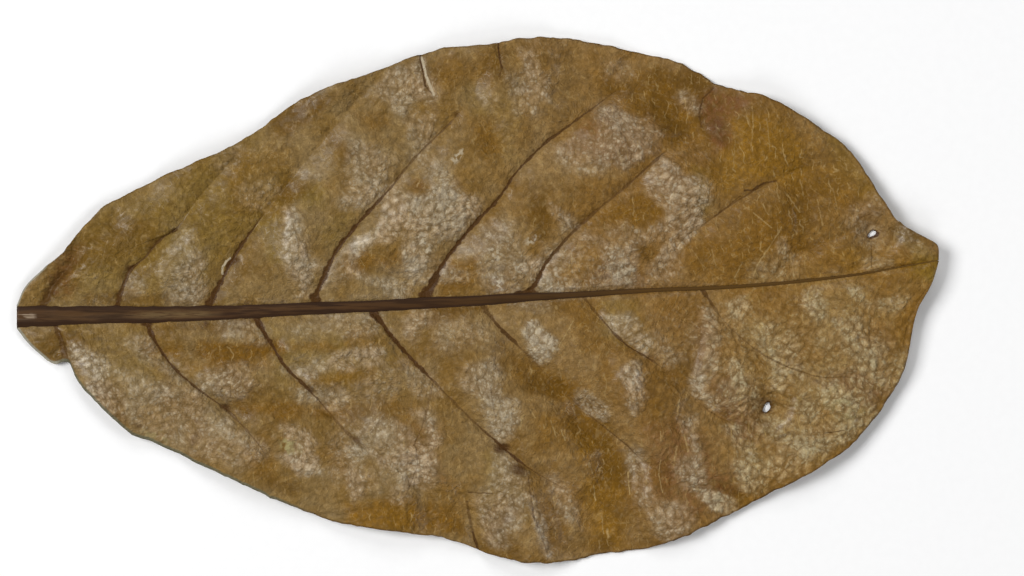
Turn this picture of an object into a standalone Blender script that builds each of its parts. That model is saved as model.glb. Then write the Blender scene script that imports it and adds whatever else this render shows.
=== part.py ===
"""A dried Indian almond leaf, grown in one piece, lying on its under face.

The frame is in metres with +Z up. The origin is under the middle of the leaf, on the surface
that the leaf lies on. +X runs from the cut base to the tip, and +Y is the left half of the blade.

The leaf is a grid. Its columns leave the midrib where the side veins do and run out to the
margin as they do, so that each vein lies along a column. Its rows run from base to tip: those of
the right half, then those across the midrib, then those of the left half.
"""

import math
from dataclasses import dataclass, field

import bmesh
import bpy
import numpy as np

MM = 0.001

# Driving dimensions
LENGTH = 200 * MM
BLADE_THICKNESS = 0.65 * MM
LIFT = 2.9 * MM
MIDRIB_CROWN = 0.35 * MM
MIDRIB_KEEL = 1.7 * MM
VEIN_KEEL = 0.55 * MM
VEIN_REACH = 1.0 * MM

# The plan's points are in two-hundredths of the length, so that one is 1 mm on this leaf.
PLAN_UNIT = LENGTH / 200

# The midrib's middle line, and how wide it is, each from base to tip
MIDRIB_LINE = (
    (-100, -3.7), (-88, -3.4), (-74, -3.3), (-60, -3.0), (-45, -2.4), (-28, -1.6),
    (-12, -0.4), (12, 0.9), (38, 2.0), (61, 3.0), (71, 3.8), (81, 5.2), (90, 6.9), (100, 8.6),
)
MIDRIB_WIDTHS = ((-100, 4.6), (-88, 3.9), (-60, 3.0), (-30, 2.2), (12, 1.6), (50, 1.2), (100, 0.8))

# Each margin starts where the base's own edge ends, and ends where the tip's begins.
LEFT_MARGIN = (
    (-93.5, 7.3), (-89.9, 10.1), (-87.0, 13.6), (-83.7, 17.6), (-80.5, 20.5), (-77.2, 22.3),
    (-67.5, 27.1), (-61, 29.7), (-54.5, 32.7), (-46.5, 37.6), (-39, 43.0), (-32, 46.1),
    (-22, 49.6), (-12.2, 53.3), (-5.7, 54.9), (3, 55.4), (7, 56.2), (13.5, 57.0), (23.5, 56.2),
    (28.0, 55.4), (37.2, 53.4), (41, 52.7), (49, 49.0), (52.5, 46.8), (56, 45.7), (62.5, 44.3),
    (69, 40.8), (75.5, 36.7), (79, 34.2), (82, 31.2), (85.3, 25.9), (88.5, 21.0), (90.3, 18.0),
    (93.9, 15.2), (97.0, 13.5),
)
RIGHT_MARGIN = (
    (-93.4, -13.2), (-91.6, -14.0), (-89.4, -13.4), (-88.7, -13.6), (-87, -16.6), (-83.8, -20.8),
    (-80.5, -23.9), (-77.2, -27.1), (-74.0, -29.6), (-70.7, -30.7), (-64.2, -33.6), (-54.5, -38.2),
    (-41.5, -44.1), (-31, -48.0), (-25.2, -49.2), (-18.8, -50.0), (-12.2, -50.8), (-5.7, -52.0),
    (0.8, -54.5), (7, -56.1), (13.8, -57.0), (20.4, -56.6), (26.8, -55.3), (37.2, -54.0),
    (42.9, -52.2), (49.5, -49.2), (56, -46.0), (62.5, -42.6), (69, -39.2), (75.5, -35.4),
    (82.0, -30.6), (86.0, -25.9), (89.2, -21.5), (91.1, -18.3), (92.6, -15.1), (93.6, -11.2),
    (94.2, -7.5), (94.8, -4.3), (95.7, -1.4),
)

# Where each side vein leaves the midrib, its middle and its end at the margin. The first and the
# last rows are the edges of the base and of the tip.
LEFT_VEINS = (
    (-100, (-98.2, 2.6), (-93.5, 7.3)),
    (-94.2, (-89.9, 6.1), (-86.4, 14.3)),
    (-77.7, (-66.0, 14.7), (-46.5, 37.7)),
    (-57.5, (-43.7, 22.1), (-19.8, 50.6)),
    (-35.0, (-17.9, 25.6), (5.7, 55.6)),
    (-11.2, (7.7, 25.4), (40.2, 52.8)),
    (11.2, (30.7, 24.5), (58.0, 45.5)),
    (38.0, (56.0, 21.0), (83.0, 30.0)),
    (62.5, (74.5, 15.0), (88.9, 20.4)),
    (80.9, (87.3, 12.0), (90.9, 17.8)),
    (100, (99.6, 11.9), (97.0, 13.5)),
)
RIGHT_VEINS = (
    (-100, (-97.4, -9.5), (-93.4, -13.2)),
    (-92.0, (-90.3, -9.5), (-89.0, -12.9)),
    (-71.2, (-61.0, -18.4), (-44.7, -42.5)),
    (-47.3, (-32.8, -23.4), (0.3, -54.2)),
    (-22.0, (0.3, -26.9), (37.2, -54.0)),
    (1.6, (25.5, -25.8), (56.7, -45.5)),
    (22.4, (46.3, -19.9), (80.5, -31.9)),
    (48.4, (65.3, -13.4), (90.7, -19.1)),
    (64.7, (77.7, -3.3), (93.2, -11.2)),
    (80.5, (88.0, 2.0), (94.4, -5.6)),
    (100, (98.7, 4.2), (95.7, -1.4)),
)

# Folds that drying left in the blade: both ends, half the width, and the height of the crest,
# which is below zero where the fold is a valley
FOLDS = (
    ((8, -13), (24, -26), 4.5, -1.5),
    ((24, -26), (31, -37), 4.5, -1.5),
    ((31, -37), (31.5, -53), 4.0, -1.3),
    ((-69, -11.3), (-46, -12.4), 2.2, -0.8),
    ((-40, -10.8), (-20, -9.0), 2.2, 0.7),
    ((-38, -14.1), (-16, -12.6), 1.9, -0.7),
    ((-36, -17.6), (-16, -15.6), 1.9, 0.6),
    ((-53, -22.8), (-12, -21.7), 3.0, -0.9),
    ((-13, -36), (-10, -48), 2.4, -1.0),
    ((-4, -43), (0.5, -54), 2.2, -1.2),
    ((9.5, -36), (10.5, -54), 4.0, 0.9),
    ((16, -37), (19, -52), 2.5, -0.8),
    ((38.5, -30), (37.5, -50), 3.0, 0.8),
    ((46, -6), (46.5, -26), 3.0, -0.7),
    ((32, -10), (33.5, -21), 3.2, 0.9),
    ((-1.5, 48), (6, 32), 3.0, -0.9),
    ((14, 55), (16, 43), 3.2, 0.8),
    ((35, 50), (48, 35), 4.0, -1.2),
    ((25, 38), (46, 24), 4.5, 1.0),
    ((48, 20), (50, 7), 2.8, -0.6),
    ((70, 26), (71, 11), 3.2, -0.8),
    ((-40, 9), (-40, 19), 3.0, 0.9),
    ((-68, 5), (-60, 14), 3.0, 0.7),
    ((-22, 12), (-9, 20), 6.0, 1.1),
    ((-27, 7.5), (-13, 3.5), 2.0, -0.7),
    ((2, 9), (9, 13), 4.5, 0.8),
    ((24, 7), (30, 11), 4.0, 0.8),
    ((-25, 43), (-18, 34), 3.0, -0.6),
    ((-90, 6.5), (-79, 16), 2.5, -0.6),
)

# Insect holes: the middle, and how far the hole reaches along and across the leaf
HOLES = (((63.4, -23.2), (1.2, 1.3)), ((86.5, 14.2), (1.4, 0.8)))

# The blade sags to the surface at one spot on each side, and the midrib's keel meets it near the base.
SAGS = ((36, 50.5), (30, -52))
SAG_DEPTH = 3.0 * MM
SAG_RADIUS = 15 * PLAN_UNIT
LOBE_DROP = 0.9 * MM

BULGE = 1.3 * MM
BULGE_SHARPNESS = 2.4
BULGE_FULL_WIDTH = 22 * PLAN_UNIT
CHANNEL_DEPTH = 0.8 * MM
CHANNEL_REACH = 7 * PLAN_UNIT
MARGIN_WAVE = 1.0 * MM
MARGIN_WAVE_LENGTH = 31 * PLAN_UNIT
TIP_RISE = 2.2 * MM
BASE_DROP = 1.1 * MM

# The raised net: rungs that cross from vein to vein, one on every second row, and the crumple
# between them
RUNG_HEIGHT = 0.16 * MM
CRUMPLE = 0.14 * MM
CRUMPLE_SEED = 7

# The grid
ROWS_IN_HALF = 14
ROWS_IN_MIDRIB = 4
WIDEST_COLUMN = 5.0 * PLAN_UNIT
CLOSEST_COLUMN = 0.6 * PLAN_UNIT
FULL_RELIEF_SPACING = 2.5 * PLAN_UNIT


def smooth(knots, values, at):
    """Values on a curve that passes through every knot without a corner, at any place along it."""
    knots, values, at = (np.asarray(given, float) for given in (knots, values, at))
    slopes = np.gradient(values, knots, axis=0)
    left = np.clip(np.searchsorted(knots, at, side="right") - 1, 0, len(knots) - 2)
    span = knots[left + 1] - knots[left]
    share = (at - knots[left]) / span
    if values.ndim > 1:
        span, share = span[..., None], share[..., None]
    rest = 1 - share
    ends = values[left] * (1 + 2 * share) * rest**2 + values[left + 1] * (3 - 2 * share) * share**2
    return ends + span * share * rest * (slopes[left] * rest - slopes[left + 1] * share)


def plan(rows):
    """Plan points in metres."""
    return np.array(rows, float) * PLAN_UNIT


def hill(distance, reach):
    """1 at no distance, falling smoothly to almost nothing at twice the reach."""
    return np.exp(-((distance / reach) ** 2))


def midrib_middle(x):
    """How far the midrib's middle line lies from the frame's X axis."""
    line = plan(MIDRIB_LINE)
    return smooth(line[:, 0], line[:, 1], x)


def midrib_width(x):
    """How wide the midrib is at its place along the leaf."""
    widths = plan(MIDRIB_WIDTHS)
    return smooth(widths[:, 0], widths[:, 1], x)


@dataclass
class HalfBlade:
    """The half of the blade on one side of the midrib.

    A place in it is told by the point of the midrib that its column leaves, and by its share of
    the way out to the margin.
    """

    side: int
    margin: tuple
    veins: tuple
    roots: np.ndarray = field(init=False)
    middles: np.ndarray = field(init=False)
    stations: np.ndarray = field(init=False)

    def __post_init__(self):
        self.roots = plan([root for root, _, _ in self.veins])
        self.middles = plan([middle for _, middle, _ in self.veins])
        self.points = plan(self.margin)
        steps = np.linalg.norm(np.diff(self.points, axis=0), axis=1)
        self.lengths = np.concatenate([[0], np.cumsum(steps)])
        walk = np.linspace(0, self.lengths[-1], 2000)
        spots = smooth(self.lengths, self.points, walk)
        ends = plan([end for _, _, end in self.veins])
        nearest = [np.argmin(np.linalg.norm(spots - end, axis=1)) for end in ends]
        self.stations = walk[nearest]

    def place(self, root, share):
        """The plan position of points on columns that leave the midrib at root."""
        start = np.stack([root, midrib_middle(root) + self.side * midrib_width(root) / 2], axis=-1)
        middle = smooth(self.roots, self.middles, root)
        end = smooth(self.lengths, self.points, smooth(self.roots, self.stations, root))
        t = share[..., None]
        return start * (1 - t) * (1 - 2 * t) + middle * 4 * t * (1 - t) + end * t * (2 * t - 1)

    def vein_number(self, root):
        """A whole number on each vein, and the share of the way to the next one between them."""
        return smooth(self.roots, np.arange(len(self.roots)), root)

    def bulge(self, root, share):
        """How far the blade swells between two veins, from 0 on a vein to about 1."""
        number = self.vein_number(root)
        before = np.clip(number.astype(int), 0, len(self.roots) - 2)
        width = self.place(self.roots[before + 1], share) - self.place(self.roots[before], share)
        room = np.clip(np.linalg.norm(width, axis=-1) / BULGE_FULL_WIDTH, 0, 1)
        envelope = np.sin(math.pi * np.clip(share, 0, 1) ** 0.8) ** 0.7 + 0.15 * share
        return (1 - abs(2 * (number % 1) - 1) ** BULGE_SHARPNESS) * envelope * room

    def vein_keel(self, root, share):
        """How far a vein stands out of the under face, from 0 beside it to 1 at its root."""
        gap = np.min(abs(root[..., None] - self.roots[1:-1]), axis=-1)
        return np.clip(1 - gap / VEIN_REACH, 0, 1) * (1 - 0.75 * share)


LEFT = HalfBlade(1, LEFT_MARGIN, LEFT_VEINS)
RIGHT = HalfBlade(-1, RIGHT_MARGIN, RIGHT_VEINS)


def fold_height(x, y):
    """The sum of the folds at a plan position."""
    height = np.zeros_like(x)
    for start, end, reach, crest in FOLDS:
        (x0, y0), (x1, y1) = plan(start), plan(end)
        along = np.array([x1 - x0, y1 - y0])
        t = np.clip(((x - x0) * along[0] + (y - y0) * along[1]) / (along @ along), 0, 1)
        away = np.hypot(x - x0 - t * along[0], y - y0 - t * along[1])
        height += crest * MM * hill(away, reach * PLAN_UNIT)
    return height


def blade_height(half, root, share, x, y):
    """How high the upper face is, without the net."""
    from_midrib = np.hypot(x - root, y - midrib_middle(root))
    height = LIFT + BULGE * half.bulge(root, share) + fold_height(x, y)
    height -= CHANNEL_DEPTH * hill(from_midrib, CHANNEL_REACH)
    height += MARGIN_WAVE * share**3 * np.sin(2 * math.pi * x / MARGIN_WAVE_LENGTH + half.side)
    height += TIP_RISE * np.clip((x - 55 * PLAN_UNIT) / (45 * PLAN_UNIT), 0, 1) ** 2
    height -= BASE_DROP * np.clip((-40 * PLAN_UNIT - x) / (60 * PLAN_UNIT), 0, 1)
    if half is RIGHT:
        height -= LOBE_DROP * np.clip(1 - half.vein_number(root), 0, 1) * share
    for spot in SAGS:
        sag_x, sag_y = plan(spot)
        height -= SAG_DEPTH * hill(np.hypot(x - sag_x, y - sag_y), SAG_RADIUS)
    return height


def widest_gap(start, end):
    """How far two columns part on their way out, on the side where they part more."""
    roots = np.array([start, end])
    ends = [half.place(roots, np.full(2, share)) for half in (LEFT, RIGHT) for share in (0.5, 1)]
    return max([end - start] + [np.linalg.norm(pair[1] - pair[0]) for pair in ends])


def columns():
    """Where every column leaves the midrib: on each vein, close beside the main ones, and between
    those so that none part too far."""
    veins = [root for half in (LEFT, RIGHT) for root in half.roots]
    beside = [
        root + way * VEIN_REACH
        for half in (LEFT, RIGHT)
        for root in half.roots[2:-2]
        for way in (-1, 1)
    ]
    kept = []
    for root in veins + beside:
        if all(abs(root - other) >= CLOSEST_COLUMN for other in kept):
            kept.append(root)
    kept.sort()
    filled = [kept[0]]
    for start, end in zip(kept, kept[1:]):
        parts = math.ceil(widest_gap(start, end) / WIDEST_COLUMN)
        filled += [start + (end - start) * step / parts for step in range(1, parts + 1)]
    return np.array(filled)


def flat_grid(roots, rows):
    """The leaf's plan as a flat grid, whose vertices know their column, row and hole.

    The three are kept in layers, because later steps add and remove vertices.
    """
    grid = bmesh.new()
    bmesh.ops.create_grid(grid, x_segments=len(roots) - 1, y_segments=rows, size=0.5)
    layers = [grid.verts.layers.int.new(name) for name in ("column", "row", "hole")]
    column_of, row_of, _ = layers
    for vertex in grid.verts:
        vertex[column_of] = round((vertex.co.x + 0.5) * (len(roots) - 1))
        vertex[row_of] = round((vertex.co.y + 0.5) * rows)
    return grid, layers


def places(roots, row):
    """For one row of the grid: the half it lies in, its share of the way out, and its plan line.

    The half is None on the rows across the midrib, and the share is then from -1 at the right
    edge of the midrib to 1 at its left edge.
    """
    across = row - ROWS_IN_HALF - ROWS_IN_MIDRIB / 2
    inside = 2 * across / ROWS_IN_MIDRIB
    if abs(inside) < 1:
        middle = midrib_middle(roots) + inside * midrib_width(roots) / 2
        return None, inside, np.stack([roots, middle], axis=-1)
    half = LEFT if across > 0 else RIGHT
    share = (abs(across) - ROWS_IN_MIDRIB / 2) / ROWS_IN_HALF
    return half, share, half.place(roots, np.full_like(roots, share))


def punch_holes(grid, hole_of):
    """Takes out the face at each insect hole and draws its corners in to the hole's edge.

    The corners are numbered by their hole in the layer hole_of, from 1.
    """
    for number, (centre, reach) in enumerate(HOLES, start=1):
        x, y = plan(centre)
        reach_x, reach_y = plan(reach)
        nearest = min(
            grid.faces,
            key=lambda face: math.hypot(
                face.calc_center_median().x - x, face.calc_center_median().y - y
            ),
        )
        middle = nearest.calc_center_median()
        corners = sorted(nearest.verts, key=lambda v: math.atan2(v.co.y - middle.y, v.co.x - middle.x))
        for turn, vertex in enumerate(corners):
            angle = math.pi * (turn / 2 - 0.75)
            vertex.co.x = x + reach_x * math.cos(angle)
            vertex.co.y = y + reach_y * math.sin(angle)
            vertex[hole_of] = number
        bmesh.ops.delete(grid, geom=[nearest], context="FACES_ONLY")


def face_heights(roots, row, rng):
    """The heights of the upper and the under face along one row of the grid."""
    half, share, line = places(roots, row)
    x, y = line[:, 0], line[:, 1]
    taper = (midrib_width(roots) / midrib_width(roots[0])) ** 0.7
    if half is None:
        edges = [
            blade_height(side, roots, np.zeros_like(roots), roots, side.place(roots, roots * 0)[:, 1])
            for side in (RIGHT, LEFT)
        ]
        upper = edges[0] * (1 - share) / 2 + edges[1] * (1 + share) / 2
        arch = math.sqrt(1 - share**2)
        under = upper - BLADE_THICKNESS - MIDRIB_KEEL * taper * arch
        return upper + MIDRIB_CROWN * taper * arch, np.maximum(under, 0)
    out = np.full_like(roots, share)
    upper = blade_height(half, roots, out, x, y)
    number = half.vein_number(roots)
    next_row = half.place(roots, out - 1 / ROWS_IN_HALF)
    spacing = np.minimum(
        np.hypot(np.gradient(x), np.gradient(y)), np.linalg.norm(next_row - line, axis=1)
    )
    window = math.sin(math.pi * share) ** 0.5 * (1 - half.vein_keel(roots, out * 0))
    window *= np.clip(spacing / FULL_RELIEF_SPACING, 0, 1) ** 2
    rung = np.where((np.floor(number) + row) % 2 == 0, 1.0, -1.0)
    upper += window * (RUNG_HEIGHT * rung + CRUMPLE * rng.uniform(-1, 1, len(roots)))
    under = np.maximum(upper - BLADE_THICKNESS - VEIN_KEEL * half.vein_keel(roots, out), 0)
    return np.maximum(upper, under + BLADE_THICKNESS), under


def leaf_material(name, colour, roughness):
    """A plain material with this colour and roughness."""
    material = bpy.data.materials.new(name)
    material.use_nodes = True
    surface = material.node_tree.nodes["Principled BSDF"]
    surface.inputs["Base Color"].default_value = (*colour, 1)
    surface.inputs["Roughness"].default_value = roughness
    surface.inputs["Metallic"].default_value = 0
    material.diffuse_color = (*colour, 1)
    return material


def build_leaf():
    """Lays the plan out flat, gives it an under face, and raises both faces to their heights."""
    roots = columns()
    rows = 2 * ROWS_IN_HALF + ROWS_IN_MIDRIB
    grid, (column_of, row_of, hole_of) = flat_grid(roots, rows)
    lines = [places(roots, row)[2] for row in range(rows + 1)]
    for vertex in grid.verts:
        vertex.co.x, vertex.co.y = lines[vertex[row_of]][vertex[column_of]]
    punch_holes(grid, hole_of)
    # Both faces must split into the same triangles, or they would cross where the blade waves.
    bmesh.ops.triangulate(grid, faces=grid.faces[:], quad_method="SHORT_EDGE")
    copied = bmesh.ops.extrude_face_region(grid, geom=grid.faces[:], use_keep_orig=True)
    upper_vertices = {item for item in copied["geom"] if isinstance(item, bmesh.types.BMVert)}

    rng = np.random.default_rng(CRUMPLE_SEED)
    heights = [face_heights(roots, row, rng) for row in range(rows + 1)]
    for vertex in grid.verts:
        upper, under = heights[vertex[row_of]]
        vertex.co.z = (upper if vertex in upper_vertices else under)[vertex[column_of]]
    for number in range(1, len(HOLES) + 1):
        corners = [vertex for vertex in grid.verts if vertex[hole_of] == number]
        for ring in ([v for v in corners if v in upper_vertices],
                     [v for v in corners if v not in upper_vertices]):
            level = sum(vertex.co.z for vertex in ring) / len(ring)
            for vertex in ring:
                vertex.co.z = level
    bmesh.ops.recalc_face_normals(grid, faces=grid.faces[:])

    on_midrib = range(ROWS_IN_HALF, ROWS_IN_HALF + ROWS_IN_MIDRIB + 1)
    vein_columns = [
        {int(np.argmin(abs(roots - root))) for root in half.roots[1:-1]} for half in (RIGHT, LEFT)
    ]
    for face in grid.faces:
        face.smooth = True
        face_rows = {vertex[row_of] for vertex in face.verts}
        face_columns = {vertex[column_of] for vertex in face.verts}
        on_left = min(face_rows) > ROWS_IN_HALF
        narrow = np.ptp(roots[sorted(face_columns)]) <= VEIN_REACH * 1.01
        on_vein = narrow and face_columns & vein_columns[on_left]
        face.material_index = int(all(row in on_midrib for row in face_rows) or bool(on_vein))

    mesh = bpy.data.meshes.new("leaf")
    grid.to_mesh(mesh)
    grid.free()
    mesh.materials.append(leaf_material("dry_blade", (0.21, 0.125, 0.042), 0.45))
    mesh.materials.append(leaf_material("dark_rib", (0.065, 0.037, 0.022), 0.55))
    leaf = bpy.data.objects.new("leaf", mesh)
    bpy.context.scene.collection.objects.link(leaf)
    return leaf


for old in list(bpy.data.objects):
    bpy.data.objects.remove(old)
build_leaf()
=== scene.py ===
"""A dried Indian almond leaf lying flat on a pale studio floor, seen from straight above.

The tables are in millimetres on the leaf, in the frame's own axes: +X runs from the cut base to
the tip, and +Y is the left half of the blade. The meshes are in metres.
"""

import logging
import math
from dataclasses import dataclass, field
from enum import Enum

import bmesh
import bpy
import numpy as np
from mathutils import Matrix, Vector


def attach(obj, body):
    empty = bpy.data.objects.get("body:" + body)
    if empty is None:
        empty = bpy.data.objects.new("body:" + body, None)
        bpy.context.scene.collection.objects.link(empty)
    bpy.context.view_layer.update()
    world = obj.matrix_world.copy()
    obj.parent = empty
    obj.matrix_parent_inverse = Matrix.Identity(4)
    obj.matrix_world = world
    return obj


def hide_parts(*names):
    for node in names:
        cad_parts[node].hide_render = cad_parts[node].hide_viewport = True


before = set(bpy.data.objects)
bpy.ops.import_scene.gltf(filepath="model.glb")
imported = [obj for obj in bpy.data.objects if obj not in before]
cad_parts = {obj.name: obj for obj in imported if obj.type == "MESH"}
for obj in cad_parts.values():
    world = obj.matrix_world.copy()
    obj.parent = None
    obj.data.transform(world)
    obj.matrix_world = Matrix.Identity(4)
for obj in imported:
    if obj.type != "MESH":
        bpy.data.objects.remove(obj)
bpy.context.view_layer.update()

MM = 0.001
# Nearly all values of the noise lie in this span
NOISE_SPAN = (0.3, 0.7)
Points = tuple[tuple[float, float], ...]
Colour = tuple[float, float, float]
Socket = bpy.types.NodeSocket
log = logging.getLogger("leaf")


class Side(Enum):
    """The two halves of the blade, by the way they lie from the midrib."""

    LEFT = 1
    RIGHT = -1


class Tone(Enum):
    """What drying did to a patch of the blade, or light painted on it: the sheen and the glints are painted
    highlights, and the knots' mask also holds the painted shadow at the insect holes. Each is kept as a
    mask of this name on the mesh.
    """

    PALE = "pale"
    OCHRE = "ochre"
    DARK = "dark"
    OLIVE = "olive"
    ROSY = "rosy"
    AMBER = "amber"
    MOULD = "mould"
    KNOT = "knot"
    GLINT = "glint"


# The midrib's middle line, and how wide it is, each from base to tip
MIDRIB_LINE = (
    (-100, -3.7), (-88, -3.4), (-74, -3.2), (-60, -2.95), (-45, -2.3), (-28, -1.55), (-8, -0.55),
    (1, -0.05), (9.4, 0.5), (18, 0.95), (29, 1.6), (40, 2.2), (53, 2.7), (66, 3.65), (76.6, 4.75),
    (85, 5.9), (92, 7.2), (100, 8.6),
)
MIDRIB_WIDTHS = (
    (-100, 4.9), (-82, 4.2), (-69, 3.7), (-40, 2.9), (-8, 2.5), (9.4, 2.15), (18, 1.65), (29, 1.3),
    (40, 0.95), (66, 0.76), (77, 0.64), (86, 0.48), (92, 0.3), (100, 0.22),
)

# Each margin starts where the base's own edge ends, and ends where the tip's begins.
LEFT_MARGIN = (
    (-93.5, 7.3), (-89.9, 10.1), (-87.0, 13.6), (-83.7, 17.6), (-80.5, 20.5), (-77.2, 22.3),
    (-67.5, 27.1), (-61, 29.7), (-54.5, 32.7), (-46.5, 37.6), (-39, 43.0), (-32, 46.1),
    (-22, 49.6), (-12.2, 53.3), (-5.7, 54.9), (3, 55.4), (7, 56.2), (13.5, 57.0), (23.5, 56.2),
    (28.0, 55.4), (37.2, 53.4), (41, 52.7), (49, 49.0), (52.5, 46.8), (56, 45.7), (62.5, 44.3),
    (69, 40.8), (75.5, 36.7), (79, 34.2), (82, 31.2), (85.3, 25.9), (88.5, 21.0), (90.3, 18.0),
    (93.9, 15.2), (97.0, 13.5),
)
RIGHT_MARGIN = (
    (-93.4, -13.2), (-91.6, -14.0), (-89.4, -13.4), (-88.7, -13.6), (-87, -16.6), (-83.8, -20.8),
    (-80.5, -23.9), (-77.2, -27.1), (-74.0, -29.6), (-70.7, -30.7), (-64.2, -33.6), (-54.5, -38.2),
    (-41.5, -44.1), (-31, -48.0), (-25.2, -49.2), (-18.8, -50.0), (-12.2, -50.8), (-5.7, -52.0),
    (0.8, -54.5), (7, -56.1), (13.8, -57.0), (20.4, -56.6), (26.8, -55.3), (37.2, -54.0),
    (42.9, -52.2), (49.5, -49.2), (56, -46.0), (62.5, -42.6), (69, -39.2), (75.5, -35.4),
    (82.0, -30.6), (86.0, -25.9), (89.2, -21.5), (91.1, -18.3), (92.6, -15.1), (93.6, -11.2),
    (94.2, -7.5), (94.8, -4.3), (95.7, -1.4),
)

# Folds that drying left in the blade: both ends, half the width, and the height of the crest,
# which is below zero where the fold is a valley
FOLDS = (
    ((8, -13), (24, -26), 4.5, -1.5),
    ((24, -26), (31, -37), 4.5, -1.5),
    ((31, -37), (31.5, -53), 4.0, -1.3),
    ((-69, -11.3), (-46, -12.4), 2.2, -0.8),
    ((-40, -10.8), (-20, -9.0), 2.2, 0.7),
    ((-38, -14.1), (-16, -12.6), 1.9, -0.7),
    ((-36, -17.6), (-16, -15.6), 1.9, 0.6),
    ((-53, -22.8), (-12, -21.7), 3.0, -0.9),
    ((-13, -36), (-10, -48), 2.4, -1.0),
    ((-4, -43), (0.5, -54), 2.2, -1.2),
    ((9.5, -36), (10.5, -54), 4.0, 0.9),
    ((16, -37), (19, -52), 2.5, -0.8),
    ((38.5, -30), (37.5, -50), 3.0, 0.8),
    ((46, -6), (46.5, -26), 3.0, -0.7),
    ((32, -10), (33.5, -21), 3.2, 0.9),
    ((-1.5, 48), (6, 32), 3.0, -0.9),
    ((14, 55), (16, 43), 3.2, 0.8),
    ((35, 50), (48, 35), 4.0, -1.2),
    ((25, 38), (46, 24), 4.5, 1.0),
    ((48, 20), (50, 7), 2.8, -0.6),
    ((70, 26), (71, 11), 3.2, -0.8),
    ((-40, 9), (-40, 19), 3.0, 0.9),
    ((-68, 5), (-60, 14), 3.0, 0.7),
    ((-22, 12), (-9, 20), 6.0, 0.8),
    ((-27, 7.5), (-13, 3.5), 2.0, -0.7),
    ((2, 9), (9, 13), 4.5, 0.8),
    ((24, 7), (30, 11), 4.0, 0.8),
    ((-25, 43), (-18, 34), 3.0, -0.6),
    ((-90, 6.5), (-79, 16), 2.5, -0.6),
)

# Fine creases and the splits at the margin: both ends, half the width, and the depth
CREASES = (
    ((-12.2, 53.3), (-11.4, 48.5), 0.45, 0.5),
    ((-11.4, 48.5), (-10.1, 44.9), 0.45, 0.35),
    ((4.9, 55.3), (5.0, 52.2), 0.45, 0.5),
    ((5.0, 52.2), (5.5, 48.8), 0.45, 0.4),
    ((0.3, -53.7), (-1.4, -49.8), 0.6, 0.5),
    ((-1.4, -49.8), (-2.1, -43.3), 0.6, 0.4),
    ((40, 50.5), (38.7, 44), 0.7, 0.4),
    ((51.2, 45.8), (48.5, 40.6), 0.5, 0.25),
    ((17, -44), (21, -55), 0.6, 0.4),
    ((12, -44), (16, -55.5), 0.6, 0.35),
    ((22, -46), (26, -55), 0.7, 0.3),
    ((37, -40), (40, -51), 0.6, 0.35),
    ((42, -42), (46, -49), 0.6, 0.35),
    ((-90, -10), (-92.5, -12.6), 0.5, 0.5),
)

# Three kinds of thin lines that are drawn on the blade: both ends, the width and the strength.
# Tear highlights are painted highlights in the waxy light colour, along the lit edge beside a tear.
TEAR_HIGHLIGHTS = (
    ((-55.2, 5.7), (-55, 7.3), 0.3, 0.75),
    ((-55, 7.3), (-54.2, 8.4), 0.32, 0.9),
    ((-54.2, 8.4), (-53.4, 9.1), 0.28, 0.75),
    ((-11.9, 52.6), (-10.6, 47.6), 0.35, 0.8),
    ((-10.6, 47.6), (-9.2, 44.4), 0.45, 0.7),
)
# Vein highlights are painted highlights on short raised fine veins.
VEIN_HIGHLIGHTS = (
    ((18.4, -28.2), (19.2, -30.4), 0.22, 0.8),
    ((16.1, -26.1), (17.2, -29.6), 0.2, 0.7),
    ((9.9, -25.4), (9.4, -28), 0.2, 0.7),
    ((11.7, -23.8), (12.7, -25.5), 0.2, 0.6),
    ((44, -21.5), (43.4, -24.1), 0.22, 0.8),
    ((45, -29.2), (45.8, -32.9), 0.22, 0.8),
    ((39.7, -28.4), (39.8, -30.3), 0.2, 0.7),
    ((43.4, -31.6), (42.8, -34.9), 0.2, 0.7),
    ((39.9, -34.5), (39.5, -37.7), 0.18, 0.6),
    ((39.5, -37.7), (40.3, -41.8), 0.18, 0.7),
    ((32.9, -37.4), (33.3, -42.3), 0.22, 0.9),
    ((25.4, -40.2), (25.8, -43.5), 0.2, 0.8),
    ((24.4, -35.3), (25.2, -37.7), 0.2, 0.7),
    ((37.6, -34.9), (36.7, -40.2), 0.16, 0.4),
    ((17.9, -10), (20.9, -4.6), 0.2, 0.7),
    ((14.8, -13.4), (17.9, -10), 0.18, 0.5),
    ((69, -24.5), (70.1, -28.2), 0.18, 0.6),
    ((77.2, -22.3), (78.8, -24.5), 0.18, 0.5),
    ((27.2, -47), (27.6, -50.9), 0.18, 0.6),
    ((60, 5.2), (61, 8), 0.22, 0.7),
    ((61, 8), (63.2, 11.3), 0.22, 0.7),
    ((63.2, 11.3), (66.1, 15.7), 0.2, 0.6),
    ((56, 5), (57.6, 8.2), 0.2, 0.6),
    ((51.9, 6.9), (51, 10.8), 0.2, 0.4),
    ((59.9, 18.9), (63.8, 15.6), 0.2, 0.6),
    ((62, 20.6), (63.2, 18.4), 0.2, 0.5),
    ((59.7, 42), (59.9, 37.3), 0.2, 0.6),
    ((59.9, 37.3), (59.3, 32.5), 0.18, 0.4),
    ((56, 34.5), (55.6, 28.2), 0.18, 0.4),
    ((66.8, 23.4), (70, 19), 0.2, 0.55),
    ((70.1, 26), (70.8, 22.8), 0.2, 0.5),
    ((73.8, 21.7), (74.9, 16.3), 0.2, 0.5),
    ((62.8, 39.3), (63.5, 32.5), 0.18, 0.4),
    ((68.2, 9), (68.9, 4.9), 0.2, 0.5),
    ((77.2, 24), (78.2, 19.5), 0.18, 0.4),
    ((46.6, 11), (49.5, 7), 0.18, 0.4),
)
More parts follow.
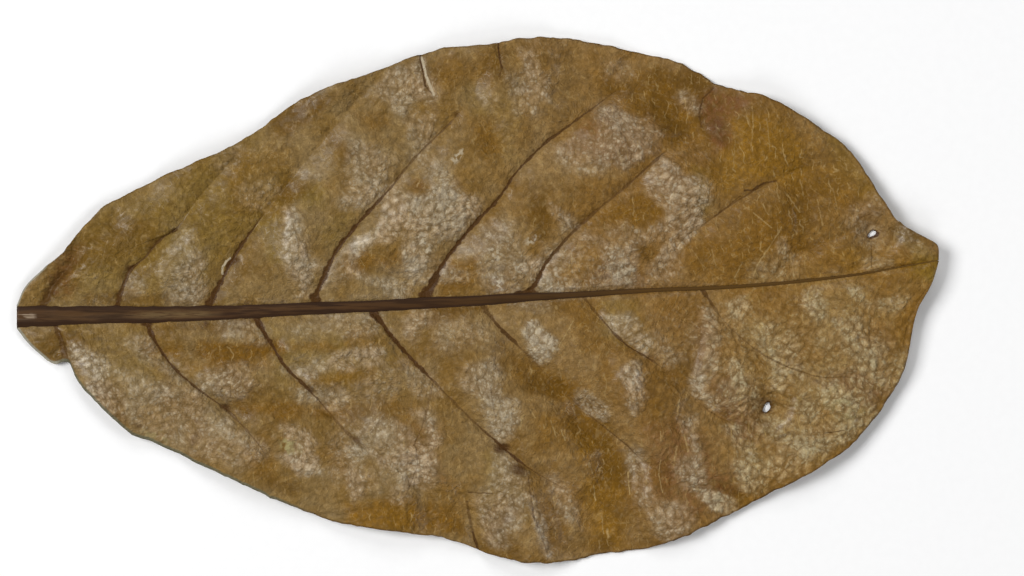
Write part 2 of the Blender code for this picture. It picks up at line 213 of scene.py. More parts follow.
# Splits are cracks as dark as the veins.
SPLITS = (
    ((-9.9, -18.9), (-11.6, -26.9), 0.2, 0.35),
    ((-11.6, -26.9), (-13.3, -31), 0.2, 0.45),
    ((-13.3, -31), (-12.7, -35.8), 0.2, 0.4),
    ((-12.7, -35.8), (-15.1, -41.8), 0.2, 0.35),
    ((-13.3, -31), (-8.6, -31.6), 0.18, 0.4),
    ((4.2, -14.1), (7, -20.2), 0.18, 0.3),
    ((2.9, -18.2), (4.2, -26.2), 0.18, 0.3),
    ((12.9, -47.7), (15.3, -54.8), 0.22, 0.4),
    ((58.1, 23.7), (59.7, 23.7), 0.3, 0.75),
    ((59.7, 23.8), (62.3, 25.4), 0.35, 0.8),
    ((62.3, 25.4), (64.9, 25.8), 0.3, 0.7),
    ((11.2, -38.1), (12.5, -47.7), 0.25, 0.5),
    ((-9.4, -18), (-11, -25.5), 0.2, 0.4),
    ((-11, -25.5), (-13.5, -31.5), 0.2, 0.4),
    ((-54.1, 7.5), (-53.3, 8.6), 0.55, 0.85),
    ((-12.3, 53.3), (-11.7, 49.4), 0.3, 0.95),
    ((-11.7, 49.4), (-11, 46.3), 0.28, 0.8),
    ((-11, 46.3), (-9.3, 44.2), 0.2, 0.6),
    ((4.7, 55.4), (4.9, 53), 0.3, 0.9),
    ((4.9, 53), (5.5, 50.2), 0.3, 0.85),
    ((5.5, 50.2), (4.9, 48.3), 0.22, 0.5),
    ((0.3, -54), (-0.9, -50.5), 0.4, 0.85),
    ((-0.9, -50.5), (-2.1, -43.8), 0.45, 0.55),
    ((-1.8, -41.6), (3.4, -41.8), 0.18, 0.55),
    ((85.5, 7), (85.6, 12.4), 0.14, 0.5),
    ((75.1, -28.8), (79.6, -28.2), 0.16, 0.7),
    ((49.2, 43.9), (51.4, 46), 0.25, 0.6),
    ((48.4, 40.6), (49.2, 43.9), 0.25, 0.7),
    ((48.9, 37.6), (48.4, 40.6), 0.25, 0.5),
    ((51.6, 18), (57.2, 22.6), 0.2, 0.5),
)

# Insect holes: the middle, the half length and half width, how far the length is turned from the
# X axis in degrees, and which way the painted shadow at the hole's edge lies from the middle
HOLES = (
    ((63.1, -23.4), (1.25, 0.68), 65, (0.5, 0.15)),
    ((86.0, 14.4), (1.05, 0.52), 32, (0.5, -0.3)),
)

# The blade sags to the floor at one spot on each side.
SAGS = ((36, 50.5), (30, -52))


@dataclass(frozen=True)
class Patch:
    """A patch of one tone, drawn as an outline, an open line or a single point.

    A line or a point has a reach, which is how far the tone spreads from it. An outline has none.
    """

    tone: Tone
    strength: float
    soft: float
    reach: float
    points: Points

    def depth(self, x: np.ndarray, y: np.ndarray) -> np.ndarray:
        """How far inside the patch each place is.

        Args:
            x: the places along the leaf.
            y: the places across it.

        Returns:
            The depth, which is below zero outside the patch.
        """
        corners = list(self.points)
        closed = self.reach == 0
        ends = corners[1:] + corners[:1] if closed or len(corners) == 1 else corners[1:]
        nearest = np.full_like(x, np.inf)
        inside = np.zeros(x.shape, bool)
        for (x0, y0), (x1, y1) in zip(corners, ends):
            nearest = np.minimum(nearest, distance_to_line(x, y, (x0, y0), (x1, y1)))
            if closed and y0 != y1:
                crossed = (y0 > y) != (y1 > y)
                inside ^= crossed & (x < x0 + (y - y0) * (x1 - x0) / (y1 - y0))
        return self.reach + np.where(inside, nearest, -nearest)

    def weight(self, x: np.ndarray, y: np.ndarray, wobble: np.ndarray) -> np.ndarray:
        """How strong the tone is at each place.

        Args:
            x: the places along the leaf.
            y: the places across it.
            wobble: how far the patch's edge strays at each place, for an edge of 1 mm softness.

        Returns:
            The tone's strength, from 0 to the patch's own.
        """
        stray = wobble * min(self.soft, 1.6)
        return self.strength * step(self.depth(x, y) + stray, -self.soft, self.soft)


# Where the tones are. Each row is a patch: its strength, how soft its edge is, its reach and then
# its points.
# Pale patches of painted sheen, where the glossy blade reflects the light. They also make the blade
# glossier and raise its pads.
PAINTED_SHEEN_PATCHES = (
    (0.15, 2, 3, (12, 57), (17, 55.5)), (0.35, 1.8, 2.4, (-22, 22.5), (-18.5, 24.5)),
    (0.35, 1.8, 2.4, (-5.5, 13.5), (-2.5, 17)), (0.35, 1.6, 2.4, (-14, 5), (-10, 7)),
    (0.35, 1.6, 2.4, (13, 4.5), (16.5, 7)), (0.3, 1.6, 2.4, (37.5, 5), (42.5, 6.5)),
    (0.3, 1.6, 2.4, (-31.5, 5), (-28, 7.5)), (0.3, 1.8, 2.4, (56, -20.5), (59, -18.5)),
    (0.3, 1.8, 2.4, (81.5, -10), (85.5, -12)), (0.3, 1.8, 2.4, (64.5, -10), (68, -12)),
    (0.45, 1.2, 1.8, (37, 13.5), (40.5, 16)), (0.3, 1.8, 2.6, (63, 6), (68.5, 7.5)),
    (0.3, 1.8, 2.6, (-30.5, -30.5), (-28.5, -27.5)), (0.25, 1.8, 2.6, (-30.5, -37.5), (-28.5, -35)),
    (0.2, 1.8, 2.8, (-22, -38.5), (-17.5, -36)), (0.35, 1.6, 2.4, (56.5, -36), (59, -38.5)),
    (0.3, 1.6, 2.4, (40, 13), (42.5, 10.5)), (0.85, 1.4, 2.2, (13, 7.5), (15.5, 4.5)),
    (0.75, 1.6, 2, (-14, 14.5), (-11.5, 17)), (0.35, 1.6, 2.2, (-14.5, -36), (-11.5, -38.5)),
    (0.8, 1.4, 2, (46.5, 24.5), (48.5, 22.5)), (0.3, 1.4, 2, (29.5, 50.5), (33, 49.5)),
    (0.2, 5, 0, (40, -4), (53, 0), (89.5, 0), (92, -17.5), (83, -28), (70, -37), (57, -39), (55, -21.5)),
    (0.4, 1.8, 2.4, (63.5, -28.5), (70, -30.5), (82, -27)), (0.3, 1.6, 2.2, (38.5, -8.5), (41.5, -12)),
    (0.55, 1.4, 2.2, (-22.5, 25.5), (-19, 22.5)), (0.3, 1.6, 2.2, (-48, 22.5), (-46, 25)),
    (0.3, 1.8, 2.6, (-24, -19), (-18.5, -18)), (0.25, 1.6, 2.2, (-55, 31), (-53, 33)),
    (0.3, 2, 3, (82, -20), (85, -25.5)), (0.3, 1.8, 2.2, (56, -20), (59.5, -22.5)),
    (0.25, 1.8, 2.4, (65, -10), (66.5, -13.5)), (0.65, 1.4, 1.8, (-15.5, -37), (-11, -35)),
    (0.25, 2, 2.4, (15, 8), (18, 4.5)), (0.8, 2, 2.2, (-4.5, 16.5), (-2.5, 19.5)),
    (0.25, 2, 2.6, (92, -13), (90.5, -17.5)),
    (0.33, 2.2, 0, (-64, 17), (-61, 13), (-59.5, 5.5), (-59, 0.5), (-66.5, 0), (-68.5, 4.5), (-67, 11),
     (-65.5, 14.5)),
    (0.4, 1, 2.4, (-61.5, 8), (-62, 1.5)),
    (1, 1.6, 0, (-41.5, 19.5), (-38.5, 20), (-37.5, 14), (-35, 13), (-35, 6.5), (-36, 0.5), (-38.5, 0.5),
     (-40, 8.5), (-41.5, 14)),
    (0.4, 1.4, 1.5, (-37, 27.5), (-34.5, 27)),
    (0.4, 2, 0, (-87, -11.5), (-82.5, -12.5), (-70.5, -16.5), (-61, -20.5), (-54.5, -26), (-49, -32),
     (-49, -36), (-56.5, -35), (-66.5, -32), (-74, -28.5), (-79, -24.5), (-83.5, -18.5), (-87, -14)),
    (0.6, 1.4, 2, (-83, -19), (-79.5, -24)), (0.4, 1.6, 2, (-73, -10), (-64.5, -17)),
    (0.5, 1.2, 2.2, (-86, -12), (-82, -14.5)), (0.4, 0.8, 1.3, (-84, -18), (-80.5, -21)),
    (0.25, 1.2, 2.2, (-71.5, -19), (-68, -20.5)), (0.4, 1, 2, (-54.5, -27), (-47.5, -32.5)),
    (0.6, 1, 0, (-42, -27.5), (-35.5, -27), (-33.5, -31.5), (-38, -32.5)),
    (0.9, 1, 0, (-42.5, -34), (-38, -33), (-34.5, -34.5), (-33, -38.5), (-38, -38)),
    (0.4, 2, 0, (-42, -6), (-31.5, -3.5), (-21.5, -3.5), (-21.5, -8), (-31.5, -7.5), (-40.5, -8.5)),
    (0.65, 1.2, 2, (-40, -15.5), (-22, -11.5)),
    (0.5, 1.4, 0, (-40.5, -19), (-29.5, -18.5), (-27, -21), (-30.5, -23.5), (-38, -22)),
    (0.45, 1.4, 0, (-61, -15.5), (-50, -15), (-46.5, -18.5), (-51, -21), (-60, -20.5)),
    (0.4, 1.4, 1.8, (-53.5, -6.5), (-47, -8)),
    (0.35, 1.2, 0, (-77, 2.5), (-73.5, 5.5), (-70.5, 3.5), (-72.5, 0), (-76.5, 0)),
    (0.58, 1.4, 0, (-21.5, 45), (-18.5, 49.5), (-12, 51.5), (-10, 46.5), (-7.5, 44.5), (-8.5, 40.5),
     (-12, 43.5), (-16.5, 40.5), (-21, 42.5)),
    (0.45, 2, 0, (-16.5, 40.5), (-9, 40.5), (-8.5, 37), (-11, 32.5), (-15.5, 34.5)),
    (0.5, 2, 0, (-28.5, 36.5), (-22, 33.5), (-17, 30.5), (-20, 25), (-25, 20.5), (-28.5, 20.5)),
    (0.75, 1.2, 0, (-27, 12), (-24, 14), (-20, 20.5), (-17, 24), (-11, 23), (-7, 26), (-3, 24),
     (-4.5, 18.5), (-7.5, 12), (-11, 14), (-15.5, 15), (-20, 12), (-25, 10.5), (-27, 8)),
    (0.6, 1, 0, (-16, 12), (-12, 11), (-10.5, 8), (-14, 5.5), (-16.5, 7)),
    (0.6, 1, 0, (-28.5, 7.5), (-24, 5.5), (-17.5, 6), (-15.5, 3.5), (-13.5, 0.5), (-17, 0), (-21, 1.5),
     (-25, 4)),
    (0.45, 1.6, 0, (-14, 31.5), (-8, 29.5), (-3.5, 26), (-3.5, 21.5), (-8, 21.5), (-11, 26)),
    (0.5, 1, 0, (9, 54.5), (12, 54.5), (14, 50), (16.5, 47), (15.5, 43.5), (11.5, 45.5), (10, 50)),
    (0.15, 1.2, 0, (-0.5, 46.5), (3, 46.5), (4.5, 42.5), (4, 38.5), (1, 42.5)),
    (0.45, 1.4, 0, (-15, 12), (-11, 14.5), (-5.5, 18.5), (0.5, 21), (2, 19), (-3, 14), (-8, 11),
     (-12.5, 9)),
    (0.3, 1.8, 0, (14.5, 11.5), (21.5, 13), (29, 12), (29.5, 2), (18, 1.5), (15, 6)),
    (0.4, 1.2, 0, (7.5, 45), (12, 45.5), (12.5, 40.5), (8, 40.5)), (0.35, 1, 1.4, (7.5, 48), (9.5, 46)),
    (0.5, 1.2, 0, (27, 41.5), (32, 40.5), (37, 39), (41, 36), (37.5, 32.5), (32, 28), (27, 32.5),
     (26.5, 37)),
    (0.4, 1.4, 0, (16.5, 33.5), (21.5, 36), (25, 34.5), (29, 29.5), (28, 25.5), (22.5, 26.5), (18, 30.5)),
    (0.62, 0.3, 0, (36, 26.5), (40, 31.5), (44, 28.5), (46.5, 24.5), (48.5, 21), (49.5, 16.5), (46.5, 12.5),
     (41, 7), (38, 7.5), (40, 11.5), (42.5, 14.5), (40.5, 19.5), (37.5, 22.5)),
    (0.5, 0.4, 2, (41.5, 27.5), (47, 19)),
    (0.7, 0.9, 0, (15.5, 21.5), (18, 20.5), (20.5, 18.5), (21.5, 15.5), (18.5, 14.5), (17, 17.5)),
    (0.65, 0.9, 0, (23, 14), (27, 14), (30, 12), (35, 10), (35.5, 5.5), (33.5, 2.5), (30, 3.5), (28, 7.5),
     (26.5, 12)),
    (0.35, 1.4, 0, (1, 16.5), (4, 18), (8.5, 17), (9.5, 11), (11.5, 8), (10, 2), (6, 1.5), (1, 2),
     (0.5, 8.5)),
    (0.6, 1, 0, (13.5, 6), (17, 8), (18.5, 5.5), (18, 1.5), (12.5, 1.5)),
    (0.5, 1, 0, (-5.5, 10), (-3, 12.5), (-0.5, 12), (0.5, 10)), (0.4, 1, 1.2, (-6.5, 5.5), (-2.5, 5)),
    (0.4, 1, 1.5, (44.5, 44), (47, 41.5)),
    (0.6, 1, 0, (-15.5, -4), (-10.5, -2), (-11, -5.5), (-14, -10), (-16, -8)),
    (0.3, 2, 0, (-9, -4), (2.5, -4.5), (2.5, -9), (-8, -10.5)), (0.2, 0.8, 1, (7.5, -1.5), (15, -1.5)),
    (0.9, 0.8, 0, (9.5, -6.5), (12.5, -5), (15, -7), (18, -8.5), (16.5, -12), (14, -13.5), (11.5, -11)),
    (0.55, 1.2, 0, (-4.5, -18.5), (-1.5, -14.5), (3, -13.5), (6, -15.5), (4.5, -19.5), (3, -23),
     (-0.5, -21.5)),
    (0.65, 1.2, 0, (-0.5, -22), (4, -20.5), (8.5, -20.5), (10, -24), (9, -27), (7, -29.5), (5, -30.5),
     (2, -26)),
    (0.65, 0.8, 0, (27.5, -4), (33.5, -2), (35.5, -4.5), (38, -10), (37, -13), (33.5, -10), (30, -7.5)),
    (0.85, 0.7, 0, (31.5, -14), (33.5, -12.5), (35.5, -13), (35.5, -17), (34, -20), (32.5, -18.5),
     (31, -16.5)),
    (0.55, 1, 0, (32.5, -20.5), (35.5, -19.5), (36.5, -21.5), (35.5, -26), (33, -25.5), (32, -23)),
    (0.6, 0.8, 1.6, (23, -21), (27, -24.5)),
    (0.47, 1, 0, (5, -33), (7.5, -34), (10.5, -38), (11, -43.5), (10, -50), (5, -50), (1, -47.5),
     (-0.5, -43.5), (2, -40), (4, -36)),
    (0.48, 1.4, 0, (-27.5, -28), (-22, -25.5), (-16.5, -27), (-12, -30), (-9.5, -32.5), (-10, -36),
     (-14, -37.5), (-15.5, -43.5), (-17.5, -43), (-16.5, -38), (-22, -34.5), (-27.5, -32.5)),
    (0.65, 0.8, 0, (-27.5, -37), (-24, -38), (-24.5, -42.5), (-27, -44)),
    (0.6, 1.2, 0, (-14, -24.5), (-10, -23), (-8, -27), (-7.5, -32.5), (-10.5, -32.5), (-11, -28)),
    (0.4, 1.6, 0, (-16, -13.5), (-9.5, -15), (-8.5, -20.5), (-13.5, -20)),
    (0.6, 0.6, 0.8, (11.5, -42.5), (15.5, -55)),
    (0.45, 1, 0, (1, -46.5), (4, -47.5), (7, -53), (4, -54), (1, -51)),
    (0.45, 0.8, 1.6, (16.5, -39), (20.5, -47)), (0.45, 1.2, 2.2, (35, -33.5), (36, -43.5)),
    (0.5, 1.2, 0, (36.5, -45.5), (40, -43.5), (45, -44.5), (48.5, -47.5), (46.5, -51), (41, -53),
     (37.5, -50)),
    (0.45, 1.4, 0, (42, -36), (45, -33.5), (48.5, -34.5), (48.5, -41), (44, -40)),
    (0.5, 1.2, 0, (45, -25.5), (48, -25), (48.5, -32), (46, -33)),
    (0.3, 1.4, 0, (81.5, 19.5), (85.5, 23), (88.5, 18.5), (85.5, 17)),
    (0.35, 1.4, 0, (90, 16.5), (97, 13), (99.5, 10), (95, 9), (90.5, 12)),
    (0.4, 1, 1, (66.5, 12.5), (67, 11)), (0.4, 1, 1.4, (85.5, 8), (89, 7.5)),
    (0.58, 0.8, 0, (70.5, 2), (73.5, 2.5), (75, -1), (75.5, -4.5), (72.5, -4), (71, -1)),
    (0.6, 0.9, 0, (79, 3.5), (83, 2.5), (84, 0), (81, 0.5)),
    (0.45, 1.2, 0, (85, -1), (88.5, 0.5), (93, 0), (92, -3.5), (87, -2.5)),
    (0.55, 0.9, 0, (54, 0), (58, 0.5), (59.5, -2.5), (57.5, -5.5), (54.5, -4)),
    (0.7, 0.9, 0, (49, -2), (51, -1.5), (53, -5.5), (53, -10), (50.5, -10.5), (49.5, -6.5)),
    (0.55, 0.9, 0, (49, -11.5), (52.5, -11), (53, -14.5), (51, -16.5), (49.5, -14)),
    (0.85, 0.3, 0, (54.5, -12.5), (56, -12), (58, -14.5), (58, -18), (56, -18), (54.5, -15.5)),
    (0.65, 0.8, 0, (46, -17), (48.5, -14.5), (50, -17.5), (49, -20.5), (48, -22), (46.5, -20)),
    (0.65, 0.7, 1.2, (49.5, -21), (51.5, -23)),
    (0.65, 0.6, 0, (64, -13.5), (67, -12.5), (67.5, -16.5), (66.5, -20.5), (64.5, -19.5), (63.5, -17)),
    (0.5, 0.9, 0, (66, -8.5), (69, -7.5), (70.5, -11), (68, -12.5)),
    (0.5, 1.2, 0, (60.5, -4.5), (65.5, -5), (64.5, -8.5), (61.5, -10)),
    (0.6, 1, 0, (77.5, -4.5), (83, -4), (85, -8.5), (88.5, -10), (89, -14), (85.5, -16.5), (83, -12),
     (80, -8.5)),
    (0.65, 1, 0, (74, -19), (77.5, -18.5), (82, -21.5), (83, -25), (80, -26.5), (76, -23.5)),
    (0.65, 0.8, 0, (71, -28), (75.5, -29.5), (76, -32.5), (71, -34), (69, -32)),
    (0.4, 0.9, 0, (53, -27), (56, -27), (59.5, -29.5), (61, -33.5), (59, -36), (56, -32.5)),
    (1, 0.8, 0, (56, -34), (58, -36), (60.5, -40), (58, -41.5), (56.5, -39)),
    (0.45, 1.2, 0, (46.5, -30.5), (49, -31), (49.5, -39), (46.5, -38.5)),
    (0.8, 0.9, 0, (46.5, -40), (49.5, -40.5), (56, -43.5), (56, -46.5), (51.5, -45.5)),
    (0.45, 1, 1.6, (70.5, -22), (72.5, -25)),
    (0.45, 2, 0, (57, -35), (68, -31.5), (76.5, -28.5), (81, -25), (83.5, -26), (79, -31.5), (68, -37),
     (59.5, -41.5)),
    (0.3, 2, 2.6, (83.5, -11), (85.5, -16.5)), (0.35, 1.6, 2.4, (63, -7.5), (68, -15.5)),
    (0.35, 1.4, 1.8, (29.5, 14.5), (33.5, 13.5)), (0.3, 1.6, 3, (82.5, 18), (86.5, 14.5)),
)
OCHRE_PATCHES = (
    (0.75, 1.4, 1.8, (46.5, -3.5), (47, -11)),
    (0.5, 3, 0, (-50, 33), (-40.5, 34.5), (-38, 24), (-44.5, 18.5), (-52.5, 19.5), (-53.5, 27)),
    (1, 1.2, 2, (-59, -11.5), (-43, -10.5)), (0.6, 1.2, 1.4, (-71.5, -11), (-65.5, -11.5)),
    (0.6, 1.2, 1.6, (-40.5, -10), (-31.5, -10)), (0.5, 1.4, 1.6, (-62.5, -14.5), (-45, -13.5)),
    (0.6, 1.6, 2, (-38, -17.5), (-23.5, -16.5)), (0.8, 1.4, 1.6, (-51.5, -23.5), (-28.5, -24.5)),
    (0.6, 1.6, 0, (-33.5, -31.5), (-28.5, -30.5), (-28.5, -39), (-31.5, -39.5)),
    (1, 1.2, 2.4, (-12.5, 24.5)),
    (0.7, 1.8, 0, (-27, 41.5), (-20, 41), (-17.5, 38), (-22, 34.5), (-26.5, 38)),
    (0.7, 1.8, 0, (-2, 39.5), (3, 38.5), (5, 32.5), (2.5, 30.5), (-1.5, 34.5)),
    (0.5, 2, 0, (-9.5, 52), (4.5, 55.5), (5, 43.5), (-0.5, 47.5), (-5.5, 45.5), (-8, 47.5)),
    (0.8, 1.4, 2.2, (-27, 8), (-17, 8.5)),
    (0.85, 1.4, 0, (-8, 7.5), (0.5, 10), (0.5, 2), (-7, 1.5), (-9.5, 4.5)),
    (0.5, 2, 0, (7.5, 25), (11, 24), (12, 16.5), (8.5, 17)),
    (0.85, 1.4, 0, (27, 19.5), (35.5, 23), (41, 20.5), (38.5, 13), (33.5, 14), (29, 14)),
    (1, 1.4, 0, (19, 12), (27, 11.5), (28, 3.5), (21.5, 3.5)),
    (0.8, 2, 0, (27, 49.5), (35.5, 52), (48.5, 48), (53, 43.5), (48.5, 32.5), (42, 32.5), (38.5, 38),
     (31, 41)),
    (0.7, 1.8, 0, (6, -10), (10.5, -12), (16, -16.5), (24.5, -18.5), (20.5, -21.5), (11.5, -20.5),
     (7.5, -17.5)),
    (0.9, 1.8, 0, (15, -18.5), (20.5, -18.5), (24.5, -24), (30, -30.5), (32, -37), (32, -53), (27, -54),
     (24.5, -47.5), (24.5, -39), (21.5, -30.5), (17, -26)),
    (0.5, 2.4, 0, (10.5, -21.5), (18, -24), (22, -32.5), (14, -32.5)),
    (0.5, 1.4, 0, (-28.5, -21.5), (-17.5, -21), (-12, -23), (-13.5, -27), (-17.5, -25), (-27.5, -24.5)),
    (0.95, 1.8, 0, (-28.5, -44.5), (-16.5, -44.5), (-10, -43.5), (-1.5, -47.5), (-1.5, -52), (-12, -51),
     (-28.5, -48)),
    (0.6, 1.6, 0, (-28.5, -6.5), (-22, -5.5), (-17.5, -10), (-21, -11), (-28.5, -10)),
    (0.4, 1.8, 0, (38.5, 0), (48.5, 1), (49.5, -10), (44, -17.5), (41, -10)),
    (0.55, 3, 0, (51.5, 43.5), (64.5, 42.5), (79, 32.5), (85.5, 24), (88.5, 18.5), (85, 14), (82.5, 8),
     (49, 3.5), (48.5, 14), (52.5, 24), (50, 32.5)),
    (0.7, 1.6, 2.6, (48, 8), (49.5, 11.5)),
    (0.6, 2.4, 0, (58, 20.5), (70, 23), (73.5, 16.5), (70, 11), (59.5, 8), (54, 13)),
    (0.6, 1.6, 2.4, (-47.5, -32), (-46.5, -37.5)),
    (0.45, 1.6, 0, (-7.5, -37.5), (-1.5, -39.5), (-2, -46.5), (-9, -46.5)),
    (0.7, 1.6, 0, (12, -42.5), (18, -43.5), (20.5, -54), (15, -55.5)), (0.6, 1.2, 2, (28, -11), (28, -17)),
    (0.6, 1.4, 1.8, (78.5, -18), (82.5, -18)), (1, 1.2, 1.8, (56.5, -28), (61, -29.5)),
    (0.5, 1.2, 1.6, (69, -21), (71, -23.5)), (0.6, 1.6, 2.2, (23.5, -5.5), (24.5, -10)),
    (1, 1, 0, (58.5, -11.5), (62.5, -11), (63.5, -16.5), (62.5, -20.5), (59.5, -19), (59, -15)),
    (0.8, 1.2, 0, (50.5, -22), (57, -23), (61.5, -26), (70, -28.5), (68, -31.5), (60.5, -29.5), (55, -27)),
    (0.7, 1, 1.6, (57.5, -42.5), (70, -36.5), (80.5, -30.5), (88, -22)),
    (0.5, 1.2, 1.6, (87.5, -20), (92, -10), (93, -4.5)),
    (0.6, 1.2, 0, (66, 0.5), (69.5, -0.5), (70, -6.5), (67, -7)),
    (0.5, 1.6, 0, (61, -21), (70, -22), (70, -25.5), (61.5, -24.5)),
    (0.5, 1.2, 0, (14, 0), (26.5, 0), (27, -4), (22.5, -5)),
)
